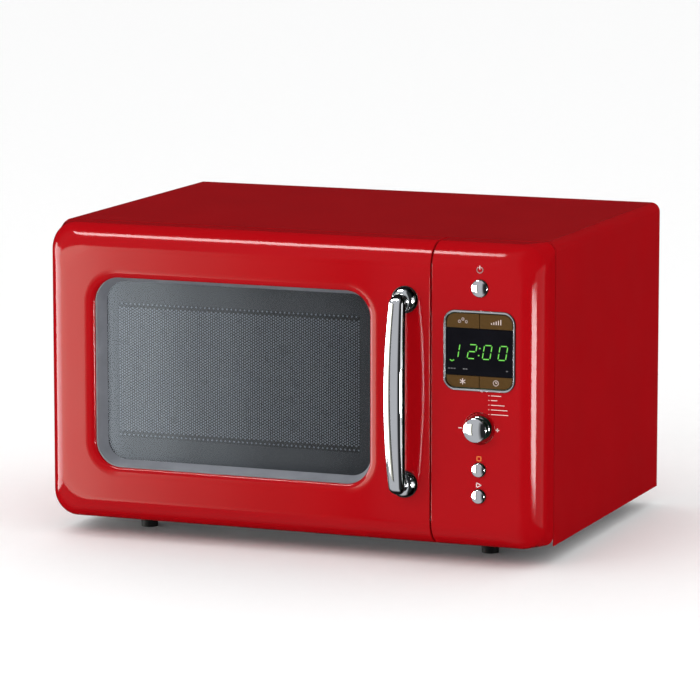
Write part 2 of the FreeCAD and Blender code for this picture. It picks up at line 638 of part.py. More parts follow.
def choke_cover():
    """Plastic ring that closes the choke channel and faces the front frame."""
    y0 = DOOR_BACK_Y - 2.4
    x0 = -HALF_WIDTH + MOULDING + 0.3
    ring = rounded_slab(x0, DOOR_RIGHT_X - MOULDING - 0.3, SKIRT_Z + MOULDING + 0.3,
                        TOP_Z - MOULDING - 0.3, 9.0, y0, y0 + 1.8)
    tools = [rounded_slab(-186.0, 88.0, 54.0, 232.0, 6.0, -125, -100),
             hinge_clearance(UPPER_ARM_Z), hinge_clearance(LOWER_ARM_Z)]
    for z0, z1 in ((HOOK_LOW_Z - 6, HOOK_LOW_Z + 12), (HOOK_HIGH_Z - 6, HOOK_HIGH_Z + 12)):
        tools.append(box(HOOK_X0 - 0.5, 130, -125, -100, z0, z1))
    tools.append(cyl_z(HINGE_X, HINGE_Y, 5.8, 0, 300))
    corner = box(-HALF_WIDTH - 5, HINGE_X, HINGE_Y, 0, 0, 300)
    tools.append(corner.cut(cyl_z(HINGE_X, HINGE_Y, HINGE_REACH, 0, 300)))
    return cut_all(ring, tools)


def handle_bar():
    """Bowed chrome bar, widest in the middle, with rounded ends that lean back to the posts."""
    middle = (HANDLE_LOW_Z + HANDLE_HIGH_Z) / 2
    half = (HANDLE_HIGH_Z - HANDLE_LOW_Z) / 2 + 6.5
    wires = []
    half_stations = (0.25, 0.5, 0.75, 0.88, 0.935, 0.975, 1.0)
    for t in [-s for s in reversed(half_stations)] + [0.0] + list(half_stations):
        bow = 1 - t * t
        tip = max(0.0, abs(t) - 0.88) / 0.12
        cap = 0.3 + 0.7 * math.sqrt(1 - tip * tip)
        width = (12.2 + 5.0 * bow) * cap
        thick = (10.0 + 3.0 * bow) * cap
        y = HANDLE_Y + (10.0 + 3.0) / 2 + 7.6 * (1 - bow) + 2.5 * tip * tip
        z = middle + half * t
        wires.append(bar_section(HANDLE_X, y, z, width, thick))
    return Part.makeLoft(wires, True, False)


def bar_section(x, y, z, width, thick):
    """A rounded rectangle lying flat at height z."""
    radius = 0.38 * min(width, thick)
    wire = rounded_wire(-width / 2, width / 2, -thick / 2, thick / 2, radius, 0)
    wire.rotate(V(0, 0, 0), V(1, 0, 0), -90)
    wire.translate(V(x, y, z))
    return wire


def handle_post(z, bar):
    """Turned chrome post: wide foot on the door, domed towards the bar."""
    face = FRONT_Y
    neck = 5.4
    outline = [V(HANDLE_X, face, z), V(HANDLE_X + POST_R, face, z)]
    for i in range(8):
        angle = math.radians(90.0 * i / 8)
        radius = neck + (POST_R - neck) * math.cos(angle)
        outline.append(V(HANDLE_X + radius, face - 3.0 - 9.0 * math.sin(angle), z))
    outline.append(V(HANDLE_X + neck, face - 18.0, z))
    outline.append(V(HANDLE_X, face - 18.0, z))
    post = revolve_about(outline, V(HANDLE_X, face, z), V(0, 1, 0))
    return post.cut([bar, cyl_y(HANDLE_X, z, 2.0, face - 10.0, face + 5)])


def handle_screws():
    solids = []
    for z in (HANDLE_LOW_Z, HANDLE_HIGH_Z):
        shank = cyl_y(HANDLE_X, z, 1.95, FRONT_Y - 9.5, FRONT_Y + MOULDING)
        head = cyl_y(HANDLE_X, z, 4.0, FRONT_Y + MOULDING, FRONT_Y + MOULDING + 2.6)
        solids.append(join([shank, head]))
    return Part.makeCompound(solids)


def door_latch():
    """Two hooks on one sliding bar, inside the door's right edge."""
    link = box(HOOK_X0, HOOK_X1, -118.3, -113.6, HOOK_LOW_Z - 6, LATCH_TOP_Z)
    hooks = []
    for z in (HOOK_LOW_Z, HOOK_HIGH_Z):
        profile = [(-114, 0), (-93, 0), (-93, -4.5), (-91, -4.5), (-88.6, 1.5), (-90, 6), (-114, 6)]
        outline = [V(HOOK_X0, y, z + rise) for y, rise in profile]
        hooks.append(extrude_polygon(outline, V(HOOK_X1 - HOOK_X0, 0, 0)))
    return join([link] + hooks)


def latch_spring():
    """Spring between the latch bar and the door, drawn as its closed envelope."""
    outer = cyl_z(121.9, -116.0, 2.2, LATCH_TOP_Z, SPRING_TOP_Z)
    return outer.cut(cyl_z(121.9, -116.0, 1.4, 0, 300))


# ---------------------------------------------------------------- hinges
def hinge_brackets():
    solids = []
    for z, low in ((UPPER_ARM_Z, 242.0), (LOWER_ARM_Z, 30.0)):
        arm = join([cyl_z(HINGE_X, HINGE_Y, 5.0, z, z + ARM_THICK),
                    box(HINGE_X - 5, HINGE_X + 5, HINGE_Y, FRAME_FRONT_Y, z, z + ARM_THICK)])
        flange = box(HINGE_X - 5, -204.0, FRAME_FRONT_Y - 1.6, FRAME_FRONT_Y, low, low + 16.0)
        bore = cyl_z(HINGE_X, HINGE_Y, HINGE_PIN_R, z - 1, z + 5)
        solids.append(join([arm, flange]).cut(bore))
    return Part.makeCompound(solids)


def hinge_pins():
    upper = join([cyl_z(HINGE_X, HINGE_Y, HINGE_PIN_R, UPPER_ARM_Z - 10.0, UPPER_ARM_Z + ARM_THICK),
                  cyl_z(HINGE_X, HINGE_Y, 4.0, UPPER_ARM_Z + ARM_THICK, UPPER_ARM_Z + ARM_THICK + 0.3)])
    lower = join([cyl_z(HINGE_X, HINGE_Y, HINGE_PIN_R, LOWER_ARM_Z, LOWER_ARM_Z + 12.0),
                  cyl_z(HINGE_X, HINGE_Y, 4.0, LOWER_ARM_Z - 0.3, LOWER_ARM_Z)])
    return Part.makeCompound([upper, lower])


# ---------------------------------------------------------------- turntable
def turntable_plate():
    """Glass dish with a raised rim, flat underneath."""
    z = PLATE_BOTTOM_Z
    r = PLATE_R
    profile = [(0, 0), (r - 14, 0), (r - 3, 6.5), (r, 11.5), (r - 3.2, 12.5), (r - 6, 9.5),
               (r - 16, 4.6), (0, 4.6)]
    plate = revolve_about([V(x, 0, z + rise) for x, rise in profile], V(0, 0, 0), V(0, 0, 1))
    plate.translate(V(TABLE_X, TABLE_Y, 0))
    return plate


def turntable_coupler():
    """Three-lobed drive that stands on the motor's shaft and lifts the glass plate's hub."""
    shaft = cyl_z(TABLE_X, TABLE_Y, 3.0, 31.0, CAVITY_Z0 + 2.0)
    hub = cyl_z(TABLE_X, TABLE_Y, 10.0, CAVITY_Z0 + 1.0, PLATE_BOTTOM_Z)
    lobes = []
    for i in range(3):
        angle = math.radians(120.0 * i)
        lobes.append(cyl_z(TABLE_X + 13 * math.cos(angle), TABLE_Y + 13 * math.sin(angle), 7.0,
                           CAVITY_Z0 + 4.0, PLATE_BOTTOM_Z))
    return join([shaft, hub] + lobes)


def roller_ring():
    """Moulded ring with three stub axles that point outwards."""
    z = CAVITY_Z0 + 0.35 + WHEEL_R
    ring = cyl_z(TABLE_X, TABLE_Y, 81.0, z - 3.0, z + 3.0).cut(cyl_z(TABLE_X, TABLE_Y, 73.0, 0, 100))
    axles = []
    for i in range(3):
        axle = cyl_x(TABLE_Y, z, 1.5, TABLE_X + 80.0, TABLE_X + 94.0)
        cap = cyl_x(TABLE_Y, z, 2.6, TABLE_X + 92.4, TABLE_X + 94.0)
        stub = join([axle, cap])
        stub.rotate(V(TABLE_X, TABLE_Y, z), V(0, 0, 1), 120.0 * i)
        axles.append(stub)
    return join([ring] + axles)


def roller_wheel(i):
    z = CAVITY_Z0 + 0.35 + WHEEL_R
    wheel = cyl_x(TABLE_Y, z, WHEEL_R, TABLE_X + WHEEL_TRACK_R - 4.0, TABLE_X + WHEEL_TRACK_R + 4.0)
    wheel = wheel.cut(cyl_x(TABLE_Y, z, 1.56, 0, 80))
    wheel.rotate(V(TABLE_X, TABLE_Y, z), V(0, 0, 1), 120.0 * i)
    return wheel


# ---------------------------------------------------------------- feet and fasteners
def foot(x, y):
    cone = Part.makeCone(7.2, 8.2, 14.0, V(x, y, 0), V(0, 0, 1))
    collar = cyl_z(x, y, 9.6, 14.0, 19.0)
    return join([cone, collar])


def feet():
    places = [(x, y) for x in (-FOOT_X, FOOT_X) for y in (FOOT_FRONT_Y, FOOT_REAR_Y)]
    return Part.makeCompound([foot(x, y) for x, y in places])


def case_screws():
    """Identical pan-head screws: six through the rear panel, into the cabinet's return."""
    solids = []
    for x in (-205.0, 0.0, 205.0):
        for z in (34.0, 256.0):
            solids.append(cyl_y(x, z, 3.6, BACK_Y - 3 + PLATE, BACK_Y - 3 + PLATE + 1.6))
    return Part.makeCompound(solids)


bar = handle_bar()

NODES = {
    "outer_cabinet": outer_cabinet(),
    "base_plate": base_plate(),
    "rear_panel": rear_panel(),
    "cord_gland": cord_gland(),
    "front_frame": front_frame(),
    "cavity_liner": cavity_liner(),
    "waveguide": waveguide(),
    "mica_cover": mica_cover(),
    "magnetron": magnetron(),
    "magnetron_filter_box": filter_box(),
    "transformer_core": transformer_core(),
    "transformer_windings": transformer_windings(),
    "capacitor": capacitor(),
    "fan_shroud": fan_shroud(),
    "fan_motor": fan_motor(),
    "fan_blade": fan_blade(),
    "turntable_motor": turntable_motor(),
    "oven_lamp": oven_lamp(),
    "lamp_socket": lamp_socket(),
    "filter_board": filter_board(),
    "latch_board": latch_board(),
    "interlock_switches": interlock_switches(),
    "control_panel": control_panel(),
    "display_bezel": display_bezel(),
    "display_lens": display_lens(),
    "display_module": display_module(),
    "key_upper_left": display_key(-1, 1),
    "key_upper_right": display_key(1, 1),
    "key_lower_left": display_key(-1, -1),
    "key_lower_right": display_key(1, -1),
    "power_button": push_button(POWER_Z, POWER_R, 3.5),
    "stop_button": push_button(STOP_Z, BUTTON_R, 4.0),
    "start_button": push_button(START_Z, BUTTON_R, 4.0),
    "control_board": control_board(),
    "selector_knob": selector_knob(),
    "encoder_shaft": encoder_shaft(),
    "knob_encoder": knob_encoder(),
    "door_outer_frame": door_outer_frame(),
    "window_surround": window_surround(),
    "door_glass": door_glass(),
    "mesh_screen": mesh_screen(),
    "door_inner_panel": door_inner_panel(),
    "inner_window": inner_window(),
    "choke_cover": choke_cover(),
    "handle_bar": bar,
    "handle_post_lower": handle_post(HANDLE_LOW_Z, bar),
    "handle_post_upper": handle_post(HANDLE_HIGH_Z, bar),
    "handle_screws": handle_screws(),
    "door_latch": door_latch(),
    "latch_spring": latch_spring(),
    "hinge_brackets": hinge_brackets(),
    "hinge_pins": hinge_pins(),
    "turntable_plate": turntable_plate(),
    "turntable_coupler": turntable_coupler(),
    "roller_ring": roller_ring(),
    "roller_wheel_1": roller_wheel(0),
    "roller_wheel_2": roller_wheel(1),
    "roller_wheel_3": roller_wheel(2),
    "feet": feet(),
    "case_screws": case_screws(),
}

for name, shape in NODES.items():
    save(name, shape)
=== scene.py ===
import json
import math
import bmesh
import bpy
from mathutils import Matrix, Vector
from mathutils.geometry import delaunay_2d_cdt


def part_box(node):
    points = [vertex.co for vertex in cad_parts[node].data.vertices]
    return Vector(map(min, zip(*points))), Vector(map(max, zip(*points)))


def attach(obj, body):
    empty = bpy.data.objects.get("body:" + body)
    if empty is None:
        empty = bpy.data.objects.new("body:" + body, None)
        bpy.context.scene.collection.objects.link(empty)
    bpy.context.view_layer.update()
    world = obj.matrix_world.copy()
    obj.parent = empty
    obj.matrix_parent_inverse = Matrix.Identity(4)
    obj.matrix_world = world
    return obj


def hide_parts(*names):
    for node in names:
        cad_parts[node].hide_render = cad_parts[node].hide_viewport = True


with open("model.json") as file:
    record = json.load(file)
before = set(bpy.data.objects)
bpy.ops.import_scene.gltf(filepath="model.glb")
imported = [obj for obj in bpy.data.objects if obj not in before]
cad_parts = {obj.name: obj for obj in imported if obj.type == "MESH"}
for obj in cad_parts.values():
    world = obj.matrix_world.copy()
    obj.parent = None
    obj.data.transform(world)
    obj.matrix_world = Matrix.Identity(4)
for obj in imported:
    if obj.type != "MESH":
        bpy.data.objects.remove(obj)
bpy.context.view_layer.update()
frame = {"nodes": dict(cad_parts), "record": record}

# Lengths in this script are millimetres in the CAD frame. They become metres when a mesh is made.
MM = 0.001
FRONT = Vector((0, -1, 0))


def span(node):
    """Lowest and highest corner of a CAD node, in millimetres."""
    low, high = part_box(node)
    return low * 1000, high * 1000


# ---------------------------------------------------------------- camera
FOCAL_LENGTH = 221.35
SENSOR_WIDTH = 36.0
YAW = math.radians(21.31)
PITCH = math.radians(9.01)
AIM = Vector((0.04127, -0.110, 0.17025))  # in metres, like the distance
DISTANCE = 3.620


def add_camera():
    """A long lens that looks at the oven from the front right, a little from above."""
    data = bpy.data.cameras.new("camera")
    data.lens = FOCAL_LENGTH
    data.sensor_width = SENSOR_WIDTH
    data.clip_end = 100.0
    camera = bpy.data.objects.new("camera", data)
    ahead = Vector((-math.sin(YAW) * math.cos(PITCH), math.cos(YAW) * math.cos(PITCH), -math.sin(PITCH)))
    camera.location = AIM - ahead * DISTANCE
    camera.rotation_mode = "QUATERNION"
    camera.rotation_quaternion = ahead.to_track_quat("-Z", "Y")
    bpy.context.scene.collection.objects.link(camera)
    bpy.context.scene.camera = camera


add_camera()
bpy.context.scene.view_settings.view_transform = "Standard"


# ---------------------------------------------------------------- materials
def link_noise(tree, coordinates, scale, detail=3.0, stretch=(1, 1, 1)):
    """Adds a noise texture in stretched coordinates and returns its value."""
    mapping = tree.nodes.new("ShaderNodeMapping")
    mapping.inputs["Scale"].default_value = stretch
    noise = tree.nodes.new("ShaderNodeTexNoise")
    noise.inputs["Scale"].default_value = scale
    noise.inputs["Detail"].default_value = detail
    tree.links.new(coordinates, mapping.inputs["Vector"])
    tree.links.new(mapping.outputs["Vector"], noise.inputs["Vector"])
    return noise.outputs["Fac"]


def remap(tree, value, low, high):
    """Spreads the middle part of a noise value over the range from low to high."""
    node = tree.nodes.new("ShaderNodeMapRange")
    node.inputs["From Min"].default_value = 0.3
    node.inputs["From Max"].default_value = 0.7
    node.inputs["To Min"].default_value = low
    node.inputs["To Max"].default_value = high
    tree.links.new(value, node.inputs["Value"])
    return node.outputs["Result"]


def material(name, colour, roughness, mottle=0.06, mottle_scale=60.0, rough_swing=0.15, bump=0.02,
             bump_scale=900.0, stretch=(1, 1, 1), specks=None, **sockets):
    """Procedural surface: uneven colour, uneven gloss and a fine relief, all fixed to the piece."""
    made = bpy.data.materials.new(name)
    made.use_nodes = True
    tree = made.node_tree
    shader = tree.nodes["Principled BSDF"]
    for socket, value in sockets.items():
        shader.inputs[socket.replace("_", " ")].default_value = value
    where = tree.nodes.new("ShaderNodeTexCoord").outputs["Object"]
    cloud = link_noise(tree, where, mottle_scale, 4.0, stretch)
    ramp = tree.nodes.new("ShaderNodeValToRGB")
    ramp.color_ramp.elements[0].position = 0.3
    ramp.color_ramp.elements[1].position = 0.7
    ramp.color_ramp.elements[0].color = [c * (1 - mottle) for c in colour] + [1]
    ramp.color_ramp.elements[1].color = [min(1.0, c * (1 + mottle)) for c in colour] + [1]
    tree.links.new(cloud, ramp.inputs["Fac"])
    tree.links.new(ramp.outputs["Color"], shader.inputs["Base Color"])
    if specks:
        grain = link_noise(tree, where, specks[0], 1.0, stretch)
        choose = tree.nodes.new("ShaderNodeValToRGB")
        choose.color_ramp.elements[0].position = 0.60
        choose.color_ramp.elements[1].position = 0.66
        mix = tree.nodes.new("ShaderNodeMix")
        mix.data_type = "RGBA"
        tree.links.new(grain, choose.inputs["Fac"])
        tree.links.new(choose.outputs["Color"], mix.inputs["Factor"])
        tree.links.new(ramp.outputs["Color"], mix.inputs[6])
        mix.inputs[7].default_value = (*specks[1], 1)
        tree.links.new(mix.outputs[2], shader.inputs["Base Color"])
    gloss = link_noise(tree, where, mottle_scale * 2.3, 3.0, stretch)
    swing = roughness * rough_swing
    tree.links.new(remap(tree, gloss, roughness - swing, roughness + swing), shader.inputs["Roughness"])
    relief = tree.nodes.new("ShaderNodeBump")
    relief.inputs["Strength"].default_value = 1.0
    relief.inputs["Distance"].default_value = bump * MM
    tree.links.new(link_noise(tree, where, bump_scale, 2.0, stretch), relief.inputs["Height"])
    tree.links.new(relief.outputs["Normal"], shader.inputs["Normal"])
    return made


RED = (0.375, 0.0022, 0.0052)
CABINET_RED = (0.345, 0.0022, 0.0050)

look = {
    "red_moulding": material("red_moulding", RED, 0.10, mottle=0.03, mottle_scale=9.0, bump=0.0025,
                             bump_scale=260.0, IOR=1.25),
    "red_paint": material("red_paint", CABINET_RED, 0.22, mottle=0.04, mottle_scale=14.0, bump=0.004,
                          bump_scale=420.0, IOR=1.22),
    "chrome": material("chrome", (0.86, 0.87, 0.89), 0.045, mottle=0.02, rough_swing=0.5, bump=0.0006,
                       bump_scale=300.0, Metallic=1.0),
    "silver_rim": material("silver_rim", (0.80, 0.81, 0.83), 0.14, mottle=0.03, bump=0.001,
                           bump_scale=700.0, Metallic=1.0),
    "dark_moulding": material("dark_moulding", (0.205, 0.217, 0.245), 0.42, mottle=0.10, bump=0.010,
                              bump_scale=1500.0),
    "window_glass": material("window_glass", (0.030, 0.033, 0.038), 0.02, mottle=0.05, bump=0.0004,
                             bump_scale=40.0, IOR=1.74, Alpha=0.42, Specular_Tint=(0.70, 0.78, 1.0, 1.0)),
    "inner_film": material("inner_film", (0.50, 0.52, 0.55), 0.35, mottle=0.05, mottle_scale=30.0,
                           bump=0.002, bump_scale=200.0, Alpha=0.80),
    "mesh_steel": material("mesh_steel", (0.020, 0.022, 0.026), 0.45, mottle=0.15, bump=0.006,
                           bump_scale=1400.0),
    "liner_enamel": material("liner_enamel", (0.50, 0.51, 0.50), 0.33, mottle=0.04, bump=0.006,
                             bump_scale=700.0, specks=(2600.0, (0.30, 0.31, 0.32))),
    "zinc_steel": material("zinc_steel", (0.60, 0.61, 0.62), 0.34, mottle=0.12, mottle_scale=180.0,
                           bump=0.003, bump_scale=900.0, Metallic=1.0),
    "lens_black": material("lens_black", (0.004, 0.004, 0.006), 0.08, mottle=0.2, bump=0.0006,
                           bump_scale=200.0, IOR=1.15),
    "key_brown": material("key_brown", (0.085, 0.045, 0.013), 0.30, mottle=0.06, mottle_scale=300.0,
                          bump=0.003, bump_scale=1500.0, IOR=1.15),
    "rubber_black": material("rubber_black", (0.007, 0.007, 0.008), 0.62, mottle=0.25, mottle_scale=250.0,
                             bump=0.03, bump_scale=1800.0, IOR=1.2),
    "white_plastic": material("white_plastic", (0.78, 0.78, 0.74), 0.40, mottle=0.03, bump=0.008,
                              bump_scale=1300.0),
    "board_green": material("board_green", (0.03, 0.17, 0.09), 0.35, mottle=0.25, mottle_scale=420.0,
                            bump=0.02, bump_scale=800.0, specks=(700.0, (0.45, 0.40, 0.22))),
    "copper_winding": material("copper_winding", (0.45, 0.16, 0.06), 0.32, mottle=0.25, mottle_scale=900.0,
                               bump=0.12, bump_scale=700.0, stretch=(0.15, 0.15, 1.0), Metallic=0.8),
    "core_steel": material("core_steel", (0.16, 0.16, 0.18), 0.45, mottle=0.30, mottle_scale=600.0,
                           bump=0.05, bump_scale=900.0, stretch=(0.1, 1.0, 0.1), Metallic=0.7),
    "aluminium": material("aluminium", (0.72, 0.73, 0.74), 0.30, mottle=0.05, mottle_scale=500.0, bump=0.01,
                          bump_scale=900.0, stretch=(0.1, 1.0, 1.0), Metallic=1.0),
    "turntable_glass": material("turntable_glass", (0.70, 0.82, 0.80), 0.05, mottle=0.03, bump=0.002,
                                bump_scale=60.0, Alpha=0.38, Coat_Weight=0.5),
    "mica": material("mica", (0.46, 0.41, 0.31), 0.40, mottle=0.25, mottle_scale=120.0, bump=0.01,
                     bump_scale=300.0, specks=(1100.0, (0.62, 0.57, 0.45))),
    # Pale bluish colour of the film behind the screen's holes: painted light for the lit inside seen
    # through them.
    "painted_hole_light": material("painted_hole_light", (0.70, 0.80, 1.0), 0.30, mottle=0.06, mottle_scale=40.0,
                             bump=0.001, Metallic=0.20),
    "border_grey": material("border_grey", (0.12, 0.13, 0.15), 0.38, mottle=0.05, mottle_scale=50.0,
                            bump=0.002, Metallic=0.08),
    "print_white": material("print_white", (0.80, 0.66, 0.64), 0.5, mottle=0.04),
    "print_orange": material("print_orange", (0.85, 0.20, 0.02), 0.5, mottle=0.04),
    "print_grey": material("print_grey", (0.10, 0.10, 0.11), 0.5, mottle=0.05),
    "digit_green": material("digit_green", (0.10, 0.45, 0.05), 0.4, mottle=0.15, mottle_scale=900.0,
                            Emission_Color=(0.22, 0.95, 0.08, 1), Emission_Strength=0.28),
}

for entry in frame["record"]["subparts"]:
    node = frame["nodes"][entry["node"]]
    for slot in node.material_slots:
        slot.material = look[entry["material_slot"]]
for slot in frame["nodes"]["inner_window"].material_slots:
    slot.material = look["inner_film"]


# ---------------------------------------------------------------- mesh building
class Skin:
    """A mesh put together from patches with exact normals."""

    def __init__(self):
        self.points = []
        self.normals = []
        self.faces = []

    def patch(self, rows, closed=False):
        """A grid of (point, normal) pairs, joined into four-sided faces."""
        start = len(self.points)
        wide = len(rows[0])
        for row in rows:
            for point, normal in row:
                self.points.append(Vector(point))
                self.normals.append(Vector(normal).normalized())
        for j in range(len(rows) - 1):
            for i in range(wide if closed else wide - 1):
                k = (i + 1) % wide
                corners = [start + j * wide + i, start + j * wide + k,
                           start + (j + 1) * wide + k, start + (j + 1) * wide + i]
                self.face(corners)

    def face(self, corners):
        """One face, with corners that coincide dropped and turned to agree with its normals."""
        distinct = []
        for c in corners:
            if all((self.points[c] - self.points[d]).length > 1e-5 for d in distinct):
                distinct.append(c)
        if len(distinct) < 3:
            return
        a, b, c = (self.points[distinct[i]] for i in (0, 1, 2))
        facing = (b - a).cross(c - a)
        if len(distinct) == 4:
            facing += (c - a).cross(self.points[distinct[3]] - a)
        if facing.dot(sum((self.normals[d] for d in distinct), Vector())) < 0:
            distinct.reverse()
        self.faces.append(distinct)

    def sheet(self, outer, holes, place, normal):
        """A flat sheet with holes: outlines in 2-D, and place turns a 2-D point into a 3-D one."""
        flat = [Vector(p) for p in outer]
        loops = [list(range(len(outer)))]
        for hole in holes:
            loops.append(list(range(len(flat), len(flat) + len(hole))))
            flat += [Vector(p) for p in hole]
        edges = [(loop[i], loop[(i + 1) % len(loop)]) for loop in loops for i in range(len(loop))]
        found = delaunay_2d_cdt(flat, edges, [], 2, 1e-5)
        start = len(self.points)
        for p in found[0]:
            self.points.append(Vector(place(p)))
            self.normals.append(Vector(normal).normalized())
        for triangle in found[2]:
            middle = sum((found[0][i] for i in triangle), Vector((0, 0))) / len(triangle)
            if inside(middle, outer) and not any(inside(middle, hole) for hole in holes):
                self.face([start + i for i in triangle])

    def polygon(self, points, normal):
        """One flat face with any number of corners."""
        start = len(self.points)
        self.points += [Vector(p) for p in points]
        self.normals += [Vector(normal)] * len(points)
        corners = list(range(start, start + len(points)))
        area = Vector()
        for i, p in enumerate(points):
            area += Vector(p).cross(Vector(points[(i + 1) % len(points)]))
        if area.dot(Vector(normal)) < 0:
            corners.reverse()
        self.faces.append(corners)

    def build(self, name, look_name, body, slot, replaced=(), slots=()):
        """Makes the object, with box-shaped slots cut through it, and adds it to a body."""
        mesh = bpy.data.meshes.new(name)
        mesh.from_pydata([p * MM for p in self.points], [], self.faces)
        normals = self.normals
        if slots:
            normals = cut_slots(mesh, normals, slots)
        mesh.polygons.foreach_set("use_smooth", [True] * len(mesh.polygons))
        mesh.update()
        mesh.normals_split_custom_set_from_vertices([tuple(n) for n in normals])
        mesh.materials.append(look[look_name])
        piece = bpy.data.objects.new(name, mesh)
        bpy.context.scene.collection.objects.link(piece)
        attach(piece, body)
        if replaced:
            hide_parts(*replaced)
        return piece


def near_box(face, low, high, margin=0.002):
    """Whether the box round a face comes within the margin of another box."""
    return all(min(v.co[i] for v in face.verts) < high[i] + margin
               and max(v.co[i] for v in face.verts) > low[i] - margin for i in range(3))


def in_box(point, low, high):
    return all(low[i] < point[i] < high[i] for i in range(3))


def cut_slots(mesh, normals, slots):
    """Cuts box-shaped slots through a mesh and returns the normals of the vertices that are left."""
    work = bmesh.new()
    work.from_mesh(mesh)
    layer = work.verts.layers.float_vector.new("kept")
    for vertex, normal in zip(work.verts, normals):
        vertex[layer] = normal
    for low, high in slots:
        low, high = Vector(low) * MM, Vector(high) * MM
        for axis in (2, 1):
            for level in (low, high):
                near = [f for f in work.faces if near_box(f, low, high)]
                around = near + list({e for f in near for e in f.edges})
                around += list({v for f in near for v in f.verts})
                across = Vector([float(i == axis) for i in range(3)])
                bmesh.ops.bisect_plane(work, geom=around, dist=1e-6, plane_co=level, plane_no=across)
        gone = [f for f in work.faces if in_box(f.calc_center_median(), low, high)]
        bmesh.ops.delete(work, geom=gone, context="FACES")
    kept = [v[layer].copy() for v in work.verts]
    work.to_mesh(mesh)
    work.free()
    return [n.normalized() for n in kept]


def inside(point, outline):
    """Whether a flat point lies inside a closed outline."""
    hit = False
    j = len(outline) - 1
    for i in range(len(outline)):
        a, b = outline[i], outline[j]
        if (a[1] > point[1]) != (b[1] > point[1]):
            if point[0] < (b[0] - a[0]) * (point[1] - a[1]) / (b[1] - a[1]) + a[0]:
                hit = not hit
        j = i
    return hit


def rounded(x0, x1, z0, z1, radius, steps=12):
    """A rounded rectangle as (x, z, outward x, outward z), anticlockwise seen from the front."""
    out = []
    for cx, cz, start in ((x1 - radius, z0 + radius, -90), (x1 - radius, z1 - radius, 0),
                          (x0 + radius, z1 - radius, 90), (x0 + radius, z0 + radius, 180)):
        for k in range(steps + 1):
            a = math.radians(start + 90.0 * k / steps)
            out.append((cx + radius * math.cos(a), cz + radius * math.sin(a), math.cos(a), math.sin(a)))
    return out


def rounded_points(x0, x1, z0, z1, radius, steps=12):
    """The outline of a rounded rectangle, as (x, z) points."""
    return [(x, z) for x, z, nx, nz in rounded(x0, x1, z0, z1, radius, steps)]


def smooth_run(points):
    """Adds to each point of a flat profile the direction that points to its left."""
    out = []
    for i, p in enumerate(points):
        direction = Vector((0, 0))
        for j in (i - 1, i):
            if 0 <= j < len(points) - 1:
                direction += (Vector(points[j + 1]) - Vector(points[j])).normalized()
        direction.normalize()
        out.append((p[0], p[1], -direction[1], direction[0]))
    return out


def eased(corners, steps=6):
    """A profile through corners given as (a, b, radius), each corner rounded to its radius."""
    out = []
    for i, (a, b, radius) in enumerate(corners):
        here = Vector((a, b))
        if radius <= 0 or i in (0, len(corners) - 1):
            out.append((a, b))
            continue
        back = (Vector(corners[i - 1][:2]) - here).normalized()
        ahead = (Vector(corners[i + 1][:2]) - here).normalized()
        angle = back.angle(ahead)
        reach = radius / math.tan(angle / 2)
        centre = here + (back + ahead).normalized() * (radius / math.sin(angle / 2))
        first = here + back * reach - centre
        turn = first.angle_signed(here + ahead * reach - centre)
        for k in range(steps + 1):
            t = -turn * k / steps
            x = first[0] * math.cos(t) - first[1] * math.sin(t)
            y = first[0] * math.sin(t) + first[1] * math.cos(t)
            out.append((centre[0] + x, centre[1] + y))
    return out


def swept_frame(skin, x0, x1, z0, z1, corner, profile, steps=12):
    """Sweeps a (growth, y) profile round a rounded rectangle."""
    rows = []
    for grow, y, out_share, y_share in smooth_run(profile):
        row = []
        for x, z, nx, nz in rounded(x0 - grow, x1 + grow, z0 - grow, z1 + grow, corner + grow, steps):
            row.append(((x, y, z), (nx * out_share, y_share, nz * out_share)))
        rows.append(row)
    skin.patch(rows, closed=True)


def turned(skin, centre, axis, profile, segments=64):
    """A turned shape: a (radius, height along the axis) profile round an axis through the centre."""
    axis = Vector(axis)
    side = axis.orthogonal().normalized()
    other = axis.cross(side)
    rows = []
    for radius, height, out_share, axis_share in smooth_run(profile):
        row = []
        for k in range(segments):
            a = 2 * math.pi * k / segments
            outward = side * math.cos(a) + other * math.sin(a)
            row.append((Vector(centre) + outward * radius + axis * height,
                        outward * out_share + axis * axis_share))
        rows.append(row)
    skin.patch(rows, closed=True)


# ---------------------------------------------------------------- rolled front shells
door_high = span("door_outer_frame")[1]
panel_low, panel_high = span("control_panel")
HALF_WIDTH = panel_high.x
TOP_Z = panel_high.z
SKIRT_Z = panel_low.z
FRONT_Y = panel_low.y
RIM_Y = panel_high.y
WALL = 2.6
ROLL = 22.0
SEAM_CORNER = 9.0
ROLL_CORNER = 20.0
FACE_CORNER = 24.0
hinge_low, hinge_high = span("hinge_pins")
HINGE_X = (hinge_low.x + hinge_high.x) / 2
HINGE_Y = (hinge_low.y + hinge_high.y) / 2
HINGE_REACH = 11.4
SEAM_EDGE = 0.7
ARM_THICKNESS = 2.0
ARM_ROOM = 0.6


def half_outline(cut_x, side, margin, corner):
    """The oven's front outline from the cut at the top, round one end, to the cut at the bottom."""
    edge = HALF_WIDTH - margin
    top = TOP_Z - margin
    bottom = SKIRT_Z + margin
    out = []
    for k in range(25):
        t = k / 24
        out.append((cut_x + (side * (edge - corner) - cut_x) * t, top, 0.0, 1.0))
    for k in range(1, 17):
        a = math.radians(90 - 90 * k / 16)
        out.append((side * (edge - corner + corner * math.cos(a)), top - corner + corner * math.sin(a),
                    side * math.cos(a), math.sin(a)))
    for k in range(1, 24):
        t = k / 24
        out.append((side * edge, top - corner + (bottom - top + 2 * corner) * t, float(side), 0.0))
    for k in range(17):
        a = math.radians(-90 * k / 16)
        out.append((side * (edge - corner + corner * math.cos(a)), bottom + corner + corner * math.sin(a),
                    side * math.cos(a), math.sin(a)))
    for k in range(1, 25):
        t = 1 - k / 24
        out.append((cut_x + (side * (edge - corner) - cut_x) * t, bottom, 0.0, -1.0))
    return out


